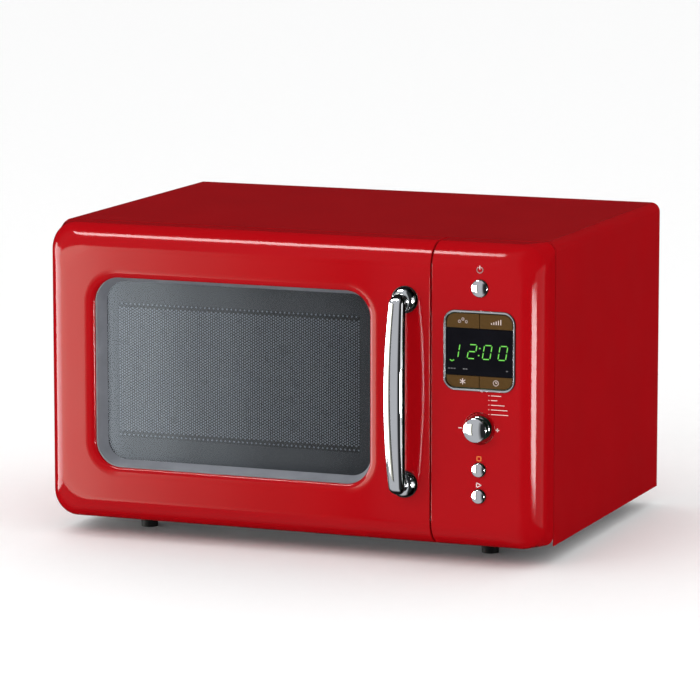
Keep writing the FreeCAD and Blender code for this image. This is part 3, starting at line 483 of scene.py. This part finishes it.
def back_edge(x, side):
    """How far back the rim reaches at x: the door's hinge side is rounded about the pin."""
    if side < 0 and x < HINGE_X:
        return min(RIM_Y, HINGE_Y + math.sqrt(max(0.0, HINGE_REACH ** 2 - (x - HINGE_X) ** 2)))
    return RIM_Y


def grid_normals(rows):
    """Normals of a grid from its own shape, turned to face away from the oven's middle."""
    middle = Vector((0, 0, (TOP_Z + SKIRT_Z) / 2))
    out = []
    for j, row in enumerate(rows):
        made = []
        for i, p in enumerate(row):
            along = Vector(row[min(i + 1, len(row) - 1)]) - Vector(row[max(i - 1, 0)])
            across = (Vector(rows[min(j + 1, len(rows) - 1)][i]) - Vector(p)).normalized()
            across += (Vector(p) - Vector(rows[max(j - 1, 0)][i])).normalized()
            normal = along.cross(across).normalized()
            if normal.dot(Vector(p) - middle) < 0:
                normal = -normal
            made.append(normal)
        out.append(made)
    return out


def front_shell(skin, cut_x, side, holes):
    """One of the two front mouldings. The cut is the side that faces the other one."""
    edge = SEAM_EDGE
    away = -side
    start_x = cut_x - away * edge
    roll_start = FRONT_Y + ROLL
    rows = []
    for t in (0.0, 0.25, 0.5, 0.75):
        corner = SEAM_CORNER + (ROLL_CORNER - SEAM_CORNER) * t
        row = []
        for x, z, nx, nz in half_outline(start_x, side, 0.0, corner):
            y = back_edge(x, side) - 0.5
            row.append((x, y + (roll_start - y) * t, z))
        rows.append(row)
    steps = 22
    for k in range(steps + 1):
        a = math.radians(90.0 * k / steps)
        corner = ROLL_CORNER + (FACE_CORNER - ROLL_CORNER) * math.sin(a)
        margin = ROLL * (1 - math.cos(a))
        y = roll_start - ROLL * math.sin(a)
        rows.append([(x, y, z) for x, z, nx, nz in half_outline(start_x, side, margin, corner)])
    normals = grid_normals(rows)
    normals[-1] = [FRONT] * len(rows[-1])
    skin.patch([list(zip(row, made)) for row, made in zip(rows, normals)])

    # rounded edge and flat wall along the cut
    section = [(row[0], n[0]) for row, n in zip(rows, normals)]
    section += [(row[-1], n[-1]) for row, n in zip(reversed(rows), reversed(normals))]
    strips = []
    for k in range(5):
        a = math.radians(22.5 * k)
        strip = []
        for p, n in section:
            n = Vector((0, n[1], n[2])).normalized()
            moved = Vector(p) + Vector((away * edge * math.sin(a), 0, 0)) - n * edge * (1 - math.cos(a))
            strip.append((moved, n * math.cos(a) + Vector((away * math.sin(a), 0, 0))))
        strips.append(strip)
    skin.patch(strips)
    skin.polygon([p for p, n in strips[-1]], (away, 0, 0))

    # rear edge of the rim, and the wall's inner face
    outline = half_outline(start_x, side, 0.0, SEAM_CORNER)
    back_rows = []
    rim = ((0.0, 0.5, 1.0, 0.0), (0.15, 0.15, 0.7, 0.7), (0.5, 0.0, 0.0, 1.0),
           (WALL - 0.3, 0.0, 0.0, 1.0), (WALL, 0.3, -0.7, 0.7), (WALL, 9.0, -1.0, 0.0))
    for inset, back, out_share, y_share in rim:
        row = []
        for x, z, nx, nz in outline:
            px = x - nx * inset
            pz = z - nz * inset
            row.append(((px, back_edge(px, side) - back, pz), (nx * out_share, y_share, nz * out_share)))
        back_rows.append(row)
    skin.patch(back_rows)

    # flat face
    face_outline = [(x, z) for x, y, z in rows[-1]]
    skin.sheet(face_outline, holes, lambda p: (p[0], FRONT_Y, p[1]), FRONT)


def circle(cx, cz, radius, count=48):
    turns = [2 * math.pi * k / count for k in range(count)]
    return [(cx + radius * math.cos(a), cz + radius * math.sin(a)) for a in turns]


surround_low, surround_high = span("window_surround")
FLANGE = 8
WINDOW = (surround_low.x + FLANGE, surround_high.x - FLANGE,
          surround_low.z + FLANGE, surround_high.z - FLANGE)
WINDOW_CORNER = 22.0
LIP = 8.5
LIP_DEPTH = 4.0


def door_shell():
    skin = Skin()
    hole = rounded_points(WINDOW[0] - LIP, WINDOW[1] + LIP, WINDOW[2] - LIP, WINDOW[3] + LIP,
                          WINDOW_CORNER + LIP, 16)
    front_shell(skin, door_high.x, -1, [hole])
    profile = []
    for k in range(13):
        a = math.radians(90.0 * k / 12)
        profile.append((LIP * (1 - math.sin(a)), FRONT_Y + LIP_DEPTH * (1 - math.cos(a))))
    profile.append((0.0, surround_low.y - 2.6))
    profile.append((0.3, surround_low.y - 2.25))
    profile.append((2.6, surround_low.y - 2.1))
    swept_frame(skin, *WINDOW, WINDOW_CORNER, profile, 16)
    return skin


def hinge_slots():
    """Room in the door's left wall for the two hinge arms."""
    out = []
    for z in (hinge_high.z - 2.3, hinge_low.z + 0.3):
        out.append(((-HALF_WIDTH - 1, HINGE_Y - 11.2, z - ARM_ROOM),
                    (HINGE_X + 1, RIM_Y + 2, z + ARM_THICKNESS + ARM_ROOM)))
    return out


door_shell().build("door_front", "red_moulding", "door", "red_moulding", ["door_outer_frame"],
                   hinge_slots())

bezel_low, bezel_high = span("display_bezel")
CONTROL_X = (bezel_low.x + bezel_high.x) / 2
knob_low, knob_high = span("selector_knob")
KNOB_Z = (knob_low.z + knob_high.z) / 2
KNOB_R = (knob_high.z - knob_low.z) / 2
DISH_R = 13.4
BUTTON_RIM = 0.9
BUTTONS = {}
for button in ("power_button", "stop_button", "start_button"):
    low, high = span(button)
    BUTTONS[button] = ((low.z + high.z) / 2, (high.z - low.z) / 2 - 1.6, low.y)


def panel_shell():
    skin = Skin()
    bezel = rounded_points(bezel_low.x + 1, bezel_high.x - 1, bezel_low.z + 1, bezel_high.z - 1, 9.5)
    dish_edge = 0.9
    holes = [bezel, circle(CONTROL_X, KNOB_Z, DISH_R + dish_edge, 64)]
    for z, radius, y in BUTTONS.values():
        holes.append(circle(CONTROL_X, z, radius + BUTTON_RIM))
        rim = eased([(radius + BUTTON_RIM, 0, 0), (radius + 0.4, 0, 0.4), (radius + 0.4, -3.2, 0)], 4)
        turned(skin, (CONTROL_X, FRONT_Y, z), FRONT, rim[::-1], 48)
    dish = eased([(DISH_R + dish_edge, 0, 0), (DISH_R, 0, 0.8), (DISH_R - 0.6, -3.8, 1.4), (4.6, -3.8, 0),
                  (4.6, -6.4, 0)], 6)
    turned(skin, (CONTROL_X, FRONT_Y, KNOB_Z), FRONT, dish[::-1], 64)
    front_shell(skin, panel_low.x, 1, holes)
    return skin


panel_shell().build("panel_front", "red_moulding", "root", "red_moulding", ["control_panel"])

# The chrome mirrors the softboxes and a dark room, and not the red fronts behind it.
for name in ("door_front", "panel_front"):
    bpy.data.objects[name].visible_glossy = False


# ---------------------------------------------------------------- window
def perforated_screen():
    """Steel sheet with rows of small round holes, in a staggered pattern."""
    low, high = span("mesh_screen")
    skin = Skin()
    pitch = 2.39
    column = 2.03
    radius = 0.78
    sides = 8
    columns = 109
    last = 47
    x0 = low.x + 4.5
    z0 = low.z + 4.7
    holes = []
    for i in range(columns):
        lift = 0.0 if i % 2 == 0 else pitch / 2
        left_out = (1, last) if i % 2 == 0 else (0, last - 1)
        for j in range(last + 1):
            if j not in left_out:
                holes.append((x0 + i * column, z0 + lift + j * pitch))
    nearby = {}
    for cx, cz in holes:
        nearby.setdefault(round((cx - x0) / column), []).append((cx, cz))
    outer = rounded_points(low.x, high.x, low.z, high.z, 6.0, 6)
    edges = [(k, (k + 1) % len(outer)) for k in range(len(outer))]
    flat = [Vector(p) for p in outer]
    for cx, cz in holes:
        start = len(flat)
        for k in range(sides):
            a = 2 * math.pi * (k + 0.5) / sides
            flat.append(Vector((cx + radius * math.cos(a), cz + radius * math.sin(a))))
            edges.append((start + k, start + (k + 1) % sides))
    found = delaunay_2d_cdt(flat, edges, [], 2, 1e-5)
    y = low.y
    skin.points = [Vector((p[0], y, p[1])) for p in found[0]]
    skin.normals = [FRONT] * len(skin.points)
    for triangle in found[2]:
        middle = sum((found[0][i] for i in triangle), Vector((0, 0))) / len(triangle)
        i = round((middle[0] - x0) / column)
        close = nearby.get(i, []) + nearby.get(i - 1, []) + nearby.get(i + 1, [])
        reach = (radius * 0.9) ** 2
        in_hole = any((middle[0] - cx) ** 2 + (middle[1] - cz) ** 2 < reach for cx, cz in close)
        if inside(middle, outer) and not in_hole:
            skin.face(list(triangle))
    return skin


def painted_hole_backing():
    """Pale film laid against the back of the perforated sheet. Its pale bluish colour is painted light: it
    stands in for the lit inside of the oven seen through the holes.
    """
    low, high = span("mesh_screen")
    skin = Skin()
    outline = rounded_points(low.x + 0.5, high.x - 0.5, low.z + 0.5, high.z - 0.5, 5.5, 6)
    skin.sheet(outline, [], lambda p: (p[0], low.y + 0.12, p[1]), FRONT)
    skin.sheet(outline, [], lambda p: (p[0], low.y + 0.22, p[1]), -FRONT)
    return skin


perforated_screen().build("perforated_screen", "mesh_steel", "door", "mesh_steel", ["mesh_screen"])
# The film behind the holes is painted light: a pale sheet in place of the lit inside seen through them.
painted_hole_backing().build("screen_film", "painted_hole_light", "door", "mesh_steel")


def screen_border():
    """Grey margin round the holes, behind the glass."""
    low, high = span("mesh_screen")
    skin = Skin()
    outline = rounded_points(WINDOW[0] - 1, WINDOW[1] + 1, WINDOW[2] - 1, WINDOW[3] + 1, WINDOW_CORNER + 1)
    opening = rounded_points(low.x + 3.6, high.x - 4.9, low.z + 2.6, high.z - 2.6, 1.5, 5)
    skin.sheet(outline, [opening], lambda p: (p[0], low.y - 0.25, p[1]), FRONT)
    return skin


screen_border().build("screen_border", "border_grey", "door", "mesh_steel")


# ---------------------------------------------------------------- handle
bar_low, bar_high = span("handle_bar")
HANDLE_X = (bar_low.x + bar_high.x) / 2
END_START = 0.92  # where the bar's rounded ends begin, as a share of its half length
SQUARENESS = 0.64  # 1 gives an oval section, less gives a squarer one


def handle_bar():
    """Bowed bar with a flat front facet between softly rounded sides, closed by rounded ends."""
    skin = Skin()
    middle = (bar_low.z + bar_high.z) / 2
    half = (bar_high.z - bar_low.z) / 2
    rows = []
    count = 96
    for j in range(count + 1):
        s = math.sin(math.pi / 2 * (2 * j / count - 1))
        bow = 1 - s * s
        tip = max(0.0, abs(s) - END_START) / (1 - END_START)
        end = max(math.sqrt(max(0.0, 1 - tip * tip)), 0.001)
        width = (12.2 + 5.0 * bow) * end / 2
        thick = (10.0 + 3.0 * bow) * end / 2
        y = bar_low.y + 6.5 + 7.6 * (1 - bow) + 2.5 * tip * tip
        z = middle + half * s
        row = []
        for k in range(48):
            a = 2 * math.pi * k / 48
            c, d = math.cos(a), math.sin(a)
            row.append((HANDLE_X + width * math.copysign(abs(c) ** SQUARENESS, c),
                        y - thick * math.copysign(abs(d) ** SQUARENESS, d), z))
        rows.append(row)
    normals = []
    for j, row in enumerate(rows):
        made = []
        centre = Vector((HANDLE_X, sum(p[1] for p in row) / len(row), row[0][2]))
        for i, p in enumerate(row):
            along = Vector(row[(i + 1) % len(row)]) - Vector(row[i - 1])
            across = Vector(rows[min(j + 1, count)][i]) - Vector(rows[max(j - 1, 0)][i])
            normal = along.cross(across)
            if normal.length < 1e-6:
                normal = Vector((0, 0, 1 if j > count / 2 else -1))
            if normal.dot(Vector(p) - centre) < 0 and 0 < j < count:
                normal = -normal
            made.append(normal.normalized())
        normals.append(made)
    skin.patch([list(zip(row, made)) for row, made in zip(rows, normals)], closed=True)
    return skin


handle_bar().build("handle_grip", "chrome", "door", "chrome", ["handle_bar"])


def handle_post(node):
    """Domed foot that narrows to a neck under the bar."""
    low, high = span(node)
    centre = ((low.x + high.x) / 2, high.y, (low.z + high.z) / 2)
    skin = Skin()
    radius = (high.x - low.x) / 2
    neck = 5.2
    profile = [(radius - 0.2, 0.0), (radius, 0.3), (radius, 0.9)]
    for k in range(1, 15):
        a = math.radians(90.0 * k / 14)
        profile.append((neck + (radius - neck) * math.cos(a) ** 0.9, 0.9 + 8.5 * math.sin(a)))
    profile += [(5.1, 12.0), (5.1, 17.5)]
    profile.reverse()
    turned(skin, centre, FRONT, profile, 72)
    return skin


for level in ("lower", "upper"):
    node = "handle_post_" + level
    handle_post(node).build("handle_foot_" + level, "chrome", "door", "chrome", [node])


# ---------------------------------------------------------------- controls
def domed_face(radius, tall, sphere):
    """Profile of a shallow dome that ends in a small rounded shoulder."""
    shoulder = 0.6
    flat = radius - shoulder
    profile = []
    for k in range(9):
        r = flat * k / 8
        profile.append((r, tall + math.sqrt(sphere ** 2 - r ** 2) - sphere))
    slope = math.asin(flat / sphere)
    edge = profile[-1][1]
    for k in range(1, 7):
        a = slope + (math.pi / 2 - slope) * k / 6
        profile.append((flat + shoulder * (math.sin(a) - math.sin(slope)) / (1 - math.sin(slope)),
                        edge - shoulder * (math.cos(slope) - math.cos(a))))
    return profile


def control_button(node):
    """Round chrome button with a shallow dome."""
    z, radius, y = BUTTONS[node]
    proud = FRONT_Y - y
    skin = Skin()
    profile = domed_face(radius, proud, 13.0) + [(radius, -3.4)]
    turned(skin, (CONTROL_X, FRONT_Y, z), FRONT, profile, 56)
    return skin


for node in BUTTONS:
    control_button(node).build(node + "_cap", "chrome", node, "chrome", [node])


def knob():
    """Turned chrome knob: domed face, small rounded shoulder, one groove and a skirt."""
    skin = Skin()
    tall = FRONT_Y - knob_low.y
    r = KNOB_R
    profile = domed_face(r, tall, 19.0)
    profile += eased([(r, 6.4, 0), (r, 4.6, 0.3), (r - 0.5, 4.2, 0.2), (r - 0.5, 3.4, 0.2), (r, 3.0, 0.3),
                      (r, -3.0, 0)], 6)
    turned(skin, (CONTROL_X, FRONT_Y, KNOB_Z), FRONT, profile, 80)
    return skin


knob().build("knob_cap", "chrome", "knob", "chrome", ["selector_knob"])


def bezel_ring():
    """Silver frame of the display, with rounded outer and inner edges."""
    skin = Skin()
    front = bezel_low.y
    width = 1.8
    profile = eased([(0.0, FRONT_Y + 0.2, 0), (0.0, front, 0.9), (-width, front, 0.6),
                     (-width, FRONT_Y + 2.4, 0)], 6)
    swept_frame(skin, bezel_low.x, bezel_high.x, bezel_low.z, bezel_high.z, 10.5, profile, 14)
    return skin


bezel_ring().build("display_frame", "silver_rim", "root", "silver_rim", ["display_bezel"])


# ---------------------------------------------------------------- printed marks and digits
def flat_strokes(skin, strokes, y, width, thick=0.10):
    """Short raised strokes on a front face: each is a list of (x, z) points."""
    for stroke in strokes:
        for (ax, az), (bx, bz) in zip(stroke, stroke[1:]):
            along = Vector((bx - ax, bz - az))
            along.normalize()
            side = Vector((-along[1], along[0])) * width / 2
            tip = along * width * 0.3
            base = [(ax - tip[0] + side[0], az - tip[1] + side[1]),
                    (ax - tip[0] - side[0], az - tip[1] - side[1]),
                    (bx + tip[0] - side[0], bz + tip[1] - side[1]),
                    (bx + tip[0] + side[0], bz + tip[1] + side[1])]
            skin.polygon([(x, y - thick, z) for x, z in base], FRONT)
            for k in range(4):
                (px, pz), (qx, qz) = base[k], base[(k + 1) % 4]
                out = Vector((pz - qz, 0, qx - px))
                middle = Vector(((ax + bx) / 2, 0, (az + bz) / 2))
                if out.dot(Vector(((px + qx) / 2, 0, (pz + qz) / 2)) - middle) < 0:
                    out = -out
                wall = [(px, y - thick, pz), (qx, y - thick, qz), (qx, y, qz), (px, y, pz)]
                skin.polygon(wall, out.normalized())


def ring_strokes(cx, cz, radius, start=0, end=360, count=20):
    """A ring, or a part of one, as a single stroke."""
    return [[(cx + radius * math.cos(math.radians(start + (end - start) * k / count)),
              cz + radius * math.sin(math.radians(start + (end - start) * k / count)))
             for k in range(count + 1)]]


lens_low = span("display_lens")[0]


def digits():
    """Italic seven-segment digits that read 12:00."""
    skin = Skin()
    tall = 11.6
    wide = 6.6
    base_z = lens_low.z + 14.2
    lean = 0.17
    patterns = {"1": "bc", "2": "abged", "0": "abcdef"}
    ends = {"a": ((0, 1), (1, 1)), "b": ((1, 1), (1, 0.5)), "c": ((1, 0.5), (1, 0)), "d": ((0, 0), (1, 0)),
            "e": ((0, 0.5), (0, 0)), "f": ((0, 1), (0, 0.5)), "g": ((0, 0.5), (1, 0.5))}
    for digit, left in (("1", -25.4), ("2", -10.6), ("0", 2.6), ("0", 16.2)):
        for segment in patterns[digit]:
            (ax, az), (bx, bz) = ends[segment]
            a = Vector((CONTROL_X + left + ax * wide + lean * az * tall, base_z + az * tall))
            b = Vector((CONTROL_X + left + bx * wide + lean * bz * tall, base_z + bz * tall))
            gap = (b - a).normalized() * 0.95
            flat_strokes(skin, [[tuple(a + gap), tuple(b - gap)]], lens_low.y, 0.8, 0.1)
    for lift in (2.8, 8.8):
        x = CONTROL_X - 1.0 + lean * lift
        flat_strokes(skin, [[(x - 0.25, base_z + lift), (x + 0.25, base_z + lift)]], lens_low.y, 1.0, 0.1)
    x = CONTROL_X - 25.4
    tick = [(x, base_z - 1.9), (x + 1.6, base_z - 2.9), (x + 3.2, base_z - 1.9)]
    flat_strokes(skin, [tick], lens_low.y, 0.8, 0.1)
    return skin


digits().build("clock_digits", "digit_green", "root", "lens_black")


def display_marks():
    """Dim dashes under the digits."""
    skin = Skin()
    z = lens_low.z + 5.2
    marks = []
    for x in (-27.0, -24.6, -22.2, -14.0, -11.8, 23.6):
        marks.append([(CONTROL_X + x, z), (CONTROL_X + x + 1.2, z)])
    flat_strokes(skin, marks, lens_low.y, 0.9, 0.06)
    return skin


display_marks().build("display_marks", "print_grey", "root", "lens_black")


PRINT_WIDTH = 0.75
MARK_LIFT = 9.4


def panel_marks():
    """Plain generic marks: on, minus, plus, a go arrow and five ruled lines."""
    skin = Skin()
    y = FRONT_Y
    power_z = BUTTONS["power_button"][0] + 15.4
    flat_strokes(skin, ring_strokes(CONTROL_X, power_z, 2.5, 125, 415, 20), y, PRINT_WIDTH)
    flat_strokes(skin, [[(CONTROL_X, power_z + 0.6), (CONTROL_X, power_z + 3.3)]], y, PRINT_WIDTH)
    for side, upright in ((-16.6, False), (16.0, True)):
        x = CONTROL_X + side
        flat_strokes(skin, [[(x - 1.3, KNOB_Z - 0.4), (x + 1.3, KNOB_Z - 0.4)]], y, PRINT_WIDTH)
        if upright:
            flat_strokes(skin, [[(x, KNOB_Z - 1.7), (x, KNOB_Z + 0.9)]], y, PRINT_WIDTH)
    start_z = BUTTONS["start_button"][0] + MARK_LIFT
    flat_strokes(skin, [[(CONTROL_X - 2.0, start_z - 2.0), (CONTROL_X - 2.0, start_z + 2.0),
                         (CONTROL_X + 2.0, start_z), (CONTROL_X - 2.0, start_z - 2.0)]], y, PRINT_WIDTH)
    for row, length in enumerate((8.5, 5.0, 11.5, 14.0, 14.8)):
        z = KNOB_Z + 28.0 - row * 3.9
        x = CONTROL_X + 8.2
        flat_strokes(skin, [[(x, z), (x + 0.5, z)], [(x + 2.2, z), (x + 2.2 + length, z)]], y, 0.5)
    return skin


panel_marks().build("panel_marks", "print_white", "root", "white_plastic")


def stop_mark():
    """A square over the stop button."""
    skin = Skin()
    z = BUTTONS["stop_button"][0] + MARK_LIFT
    half = 1.7
    square = [(CONTROL_X - half, z - half), (CONTROL_X + half, z - half), (CONTROL_X + half, z + half),
              (CONTROL_X - half, z + half), (CONTROL_X - half, z - half)]
    flat_strokes(skin, [square], FRONT_Y, PRINT_WIDTH)
    return skin


stop_mark().build("stop_mark", "print_orange", "root", "white_plastic")


def key_mark(node):
    """A plain picture on each soft key: dots, rising bars, a six-pointed star or a ring."""
    low, high = span(node)
    cx = (low.x + high.x) / 2
    cz = (low.z + high.z) / 2
    skin = Skin()
    y = low.y
    if node == "key_upper_left":
        strokes = []
        for dx, dz in ((-3.0, -0.8), (0.0, 1.2), (3.0, -0.8)):
            strokes += ring_strokes(cx + dx, cz + dz, 1.0, 0, 360, 10)
    elif node == "key_upper_right":
        strokes = []
        for d in (-4, -2, 0, 2, 4):
            strokes.append([(cx + d, cz - 2.0), (cx + d, cz - 2.0 + 1.0 + (d + 4.0) * 0.38)])
    elif node == "key_lower_left":
        strokes = []
        for k in range(3):
            a = math.radians(30 + 60 * k)
            strokes.append([(cx - 2.4 * math.cos(a), cz - 2.4 * math.sin(a)),
                            (cx + 2.4 * math.cos(a), cz + 2.4 * math.sin(a))])
    else:
        strokes = ring_strokes(cx, cz, 2.2, 0, 360, 18)
        strokes += [[(cx, cz), (cx, cz + 1.2)], [(cx, cz), (cx + 0.9, cz)]]
    flat_strokes(skin, strokes, y, 0.6, 0.08)
    return skin


for node in ("key_upper_left", "key_upper_right", "key_lower_left", "key_lower_right"):
    key_mark(node).build(node + "_mark", "print_white", node, "key_brown")


# ---------------------------------------------------------------- room and lights
def add_floor():
    """Wide pale floor that glossy surfaces don't mirror."""
    mesh = bpy.data.meshes.new("floor")
    half = 30.0
    corners = [(-half, -half, 0), (half, -half, 0), (half, half, 0), (-half, half, 0)]
    mesh.from_pydata(corners, [], [(0, 1, 2, 3)])
    mesh.materials.append(material("floor_paint", (0.96, 0.96, 0.96), 0.7, mottle=0.005, bump=0.01))
    floor = bpy.data.objects.new("floor", mesh)
    bpy.context.scene.collection.objects.link(floor)
    floor.visible_glossy = False


def add_world():
    """Even white light all round. In glossy surfaces the room is bright only in front and to the left."""
    world = bpy.data.worlds.new("world")
    world.use_nodes = True
    tree = world.node_tree
    ambient = tree.nodes["Background"]
    ambient.inputs["Color"].default_value = (1, 1, 1, 1)
    ambient.inputs["Strength"].default_value = 1.12
    seen = tree.nodes.new("ShaderNodeBackground")
    seen.inputs["Color"].default_value = (1, 1, 1, 1)
    seen.inputs["Strength"].default_value = 1.0
    mirrored = tree.nodes.new("ShaderNodeBackground")
    mirrored.inputs["Color"].default_value = (0.94, 0.96, 1, 1)
    direction = tree.nodes.new("ShaderNodeTexCoord")
    split = tree.nodes.new("ShaderNodeSeparateXYZ")
    tree.links.new(direction.outputs["Generated"], split.inputs["Vector"])
    fades = []
    for axis, start, end, bright, dim in (("X", 0.05, 0.30, 0.50, 0.02), ("Y", -0.35, 0.05, 1.0, 0.02)):
        fade = tree.nodes.new("ShaderNodeMapRange")
        fade.inputs["From Min"].default_value = start
        fade.inputs["From Max"].default_value = end
        fade.inputs["To Min"].default_value = bright
        fade.inputs["To Max"].default_value = dim
        tree.links.new(split.outputs[axis], fade.inputs["Value"])
        fades.append(fade)
    product = tree.nodes.new("ShaderNodeMath")
    product.operation = "MULTIPLY"
    tree.links.new(fades[0].outputs["Result"], product.inputs[0])
    tree.links.new(fades[1].outputs["Result"], product.inputs[1])
    tree.links.new(product.outputs["Value"], mirrored.inputs["Strength"])
    path = tree.nodes.new("ShaderNodeLightPath")
    first = tree.nodes.new("ShaderNodeMixShader")
    second = tree.nodes.new("ShaderNodeMixShader")
    tree.links.new(path.outputs["Is Glossy Ray"], first.inputs["Fac"])
    tree.links.new(ambient.outputs["Background"], first.inputs[1])
    tree.links.new(mirrored.outputs["Background"], first.inputs[2])
    tree.links.new(path.outputs["Is Camera Ray"], second.inputs["Fac"])
    tree.links.new(first.outputs["Shader"], second.inputs[1])
    tree.links.new(seen.outputs["Background"], second.inputs[2])
    tree.links.new(second.outputs["Shader"], tree.nodes["World Output"].inputs["Surface"])
    bpy.context.scene.world = world


def add_lamp(name, place, aim, size, power):
    """Rectangular lamp that isn't seen itself, neither directly nor in mirrors."""
    data = bpy.data.lights.new(name, "AREA")
    data.shape = "RECTANGLE"
    data.size, data.size_y = size
    data.energy = power
    lamp = bpy.data.objects.new(name, data)
    lamp.location = place
    lamp.rotation_mode = "QUATERNION"
    lamp.rotation_quaternion = (Vector(aim) - Vector(place)).to_track_quat("-Z", "Y")
    lamp.visible_glossy = False
    lamp.visible_camera = False
    bpy.context.scene.collection.objects.link(lamp)


def add_reflector(name, corners, stops, tint=(1.0, 1.0, 1.0)):
    """A softbox that shows only in glossy surfaces, and not in the cabinet or the display's rim.

    Its glow fades along its first edge by the stops.
    """
    mesh = bpy.data.meshes.new(name)
    mesh.from_pydata(corners, [], [(0, 1, 2, 3)])
    layer = mesh.uv_layers.new(name="fade")
    for loop, uv in zip(layer.data, ((0, 0), (1, 0), (1, 1), (0, 1))):
        loop.uv = uv
    made = bpy.data.materials.new(name)
    made.use_nodes = True
    tree = made.node_tree
    tree.nodes.clear()
    uv = tree.nodes.new("ShaderNodeUVMap")
    uv.uv_map = "fade"
    split = tree.nodes.new("ShaderNodeSeparateXYZ")
    ramp = tree.nodes.new("ShaderNodeValToRGB")
    ramp.color_ramp.interpolation = "EASE"
    while len(ramp.color_ramp.elements) < len(stops):
        ramp.color_ramp.elements.new(0.5)
    peak = max(value for at, value in stops)
    for element, (at, value) in zip(ramp.color_ramp.elements, stops):
        element.position = at
        element.color = [channel * value / peak for channel in tint] + [1]
    glow = tree.nodes.new("ShaderNodeEmission")
    glow.inputs["Strength"].default_value = peak
    output = tree.nodes.new("ShaderNodeOutputMaterial")
    tree.links.new(uv.outputs["UV"], split.inputs["Vector"])
    tree.links.new(split.outputs["X"], ramp.inputs["Fac"])
    tree.links.new(ramp.outputs["Color"], glow.inputs["Color"])
    tree.links.new(glow.outputs["Emission"], output.inputs["Surface"])
    mesh.materials.append(made)
    card = bpy.data.objects.new(name, mesh)
    bpy.context.scene.collection.objects.link(card)
    card.visible_camera = False
    card.visible_diffuse = False
    card.visible_shadow = False
    card.visible_transmission = False
    unlit = bpy.data.collections.new(name + "_unlit")
    for node in ("outer_cabinet", "rear_panel"):
        unlit.objects.link(frame["nodes"][node])
    unlit.objects.link(bpy.data.objects["display_frame"])
    for member in unlit.collection_objects:
        member.light_linking.link_state = "EXCLUDE"
    card.light_linking.receiver_collection = unlit


def wall_card(x0, x1, y, z0, z1):
    """An upright card along X. Its glow fades from x0 to x1."""
    return [(x0, y, z0), (x1, y, z0), (x1, y, z1), (x0, y, z1)]


def side_card(x, y0, y1, z0, z1):
    """An upright card along Y."""
    return [(x, y0, z0), (x, y1, z0), (x, y1, z1), (x, y0, z1)]


def ceiling_card(x0, x1, y0, y1, z):
    return [(x0, y0, z), (x1, y0, z), (x1, y1, z), (x0, y1, z)]


add_floor()
add_world()
add_lamp("key_lamp", (-1.0, -2.4, 1.6), (0, -0.1, 0.14), (1.6, 1.2), 14)
# Places are in metres. A stop is a share of the card's first edge and the strength of the glow there.
add_reflector("left_softbox", wall_card(-2.2, -0.25, -1.0, -0.45, 0.5),
              [(0.0, 8.6), (0.8205, 8.6), (0.856, 3.9), (0.895, 1.9), (0.94, 0.7), (1.0, 0.0)],
              tint=(1.0, 1.0, 0.86))
add_reflector("side_softbox", side_card(-1.5, 0.01, -0.80, -0.45, 0.5), [(0.0, 12.0), (1.0, 12.0)])
add_reflector("top_strip", ceiling_card(-0.95, -0.165, -0.60, -0.35, 1.27), [(0.0, 32.0), (1.0, 29.0)])
add_reflector("right_strip", side_card(1.3, -0.83, -0.32, -0.15, 0.063), [(0.0, 40.0), (1.0, 40.0)])
add_reflector("right_glow", side_card(2.6, -1.6, 1.9, -0.9, 0.9),
              [(0.0, 0.0), (0.15, 0.9), (0.75, 0.9), (1.0, 0.0)])
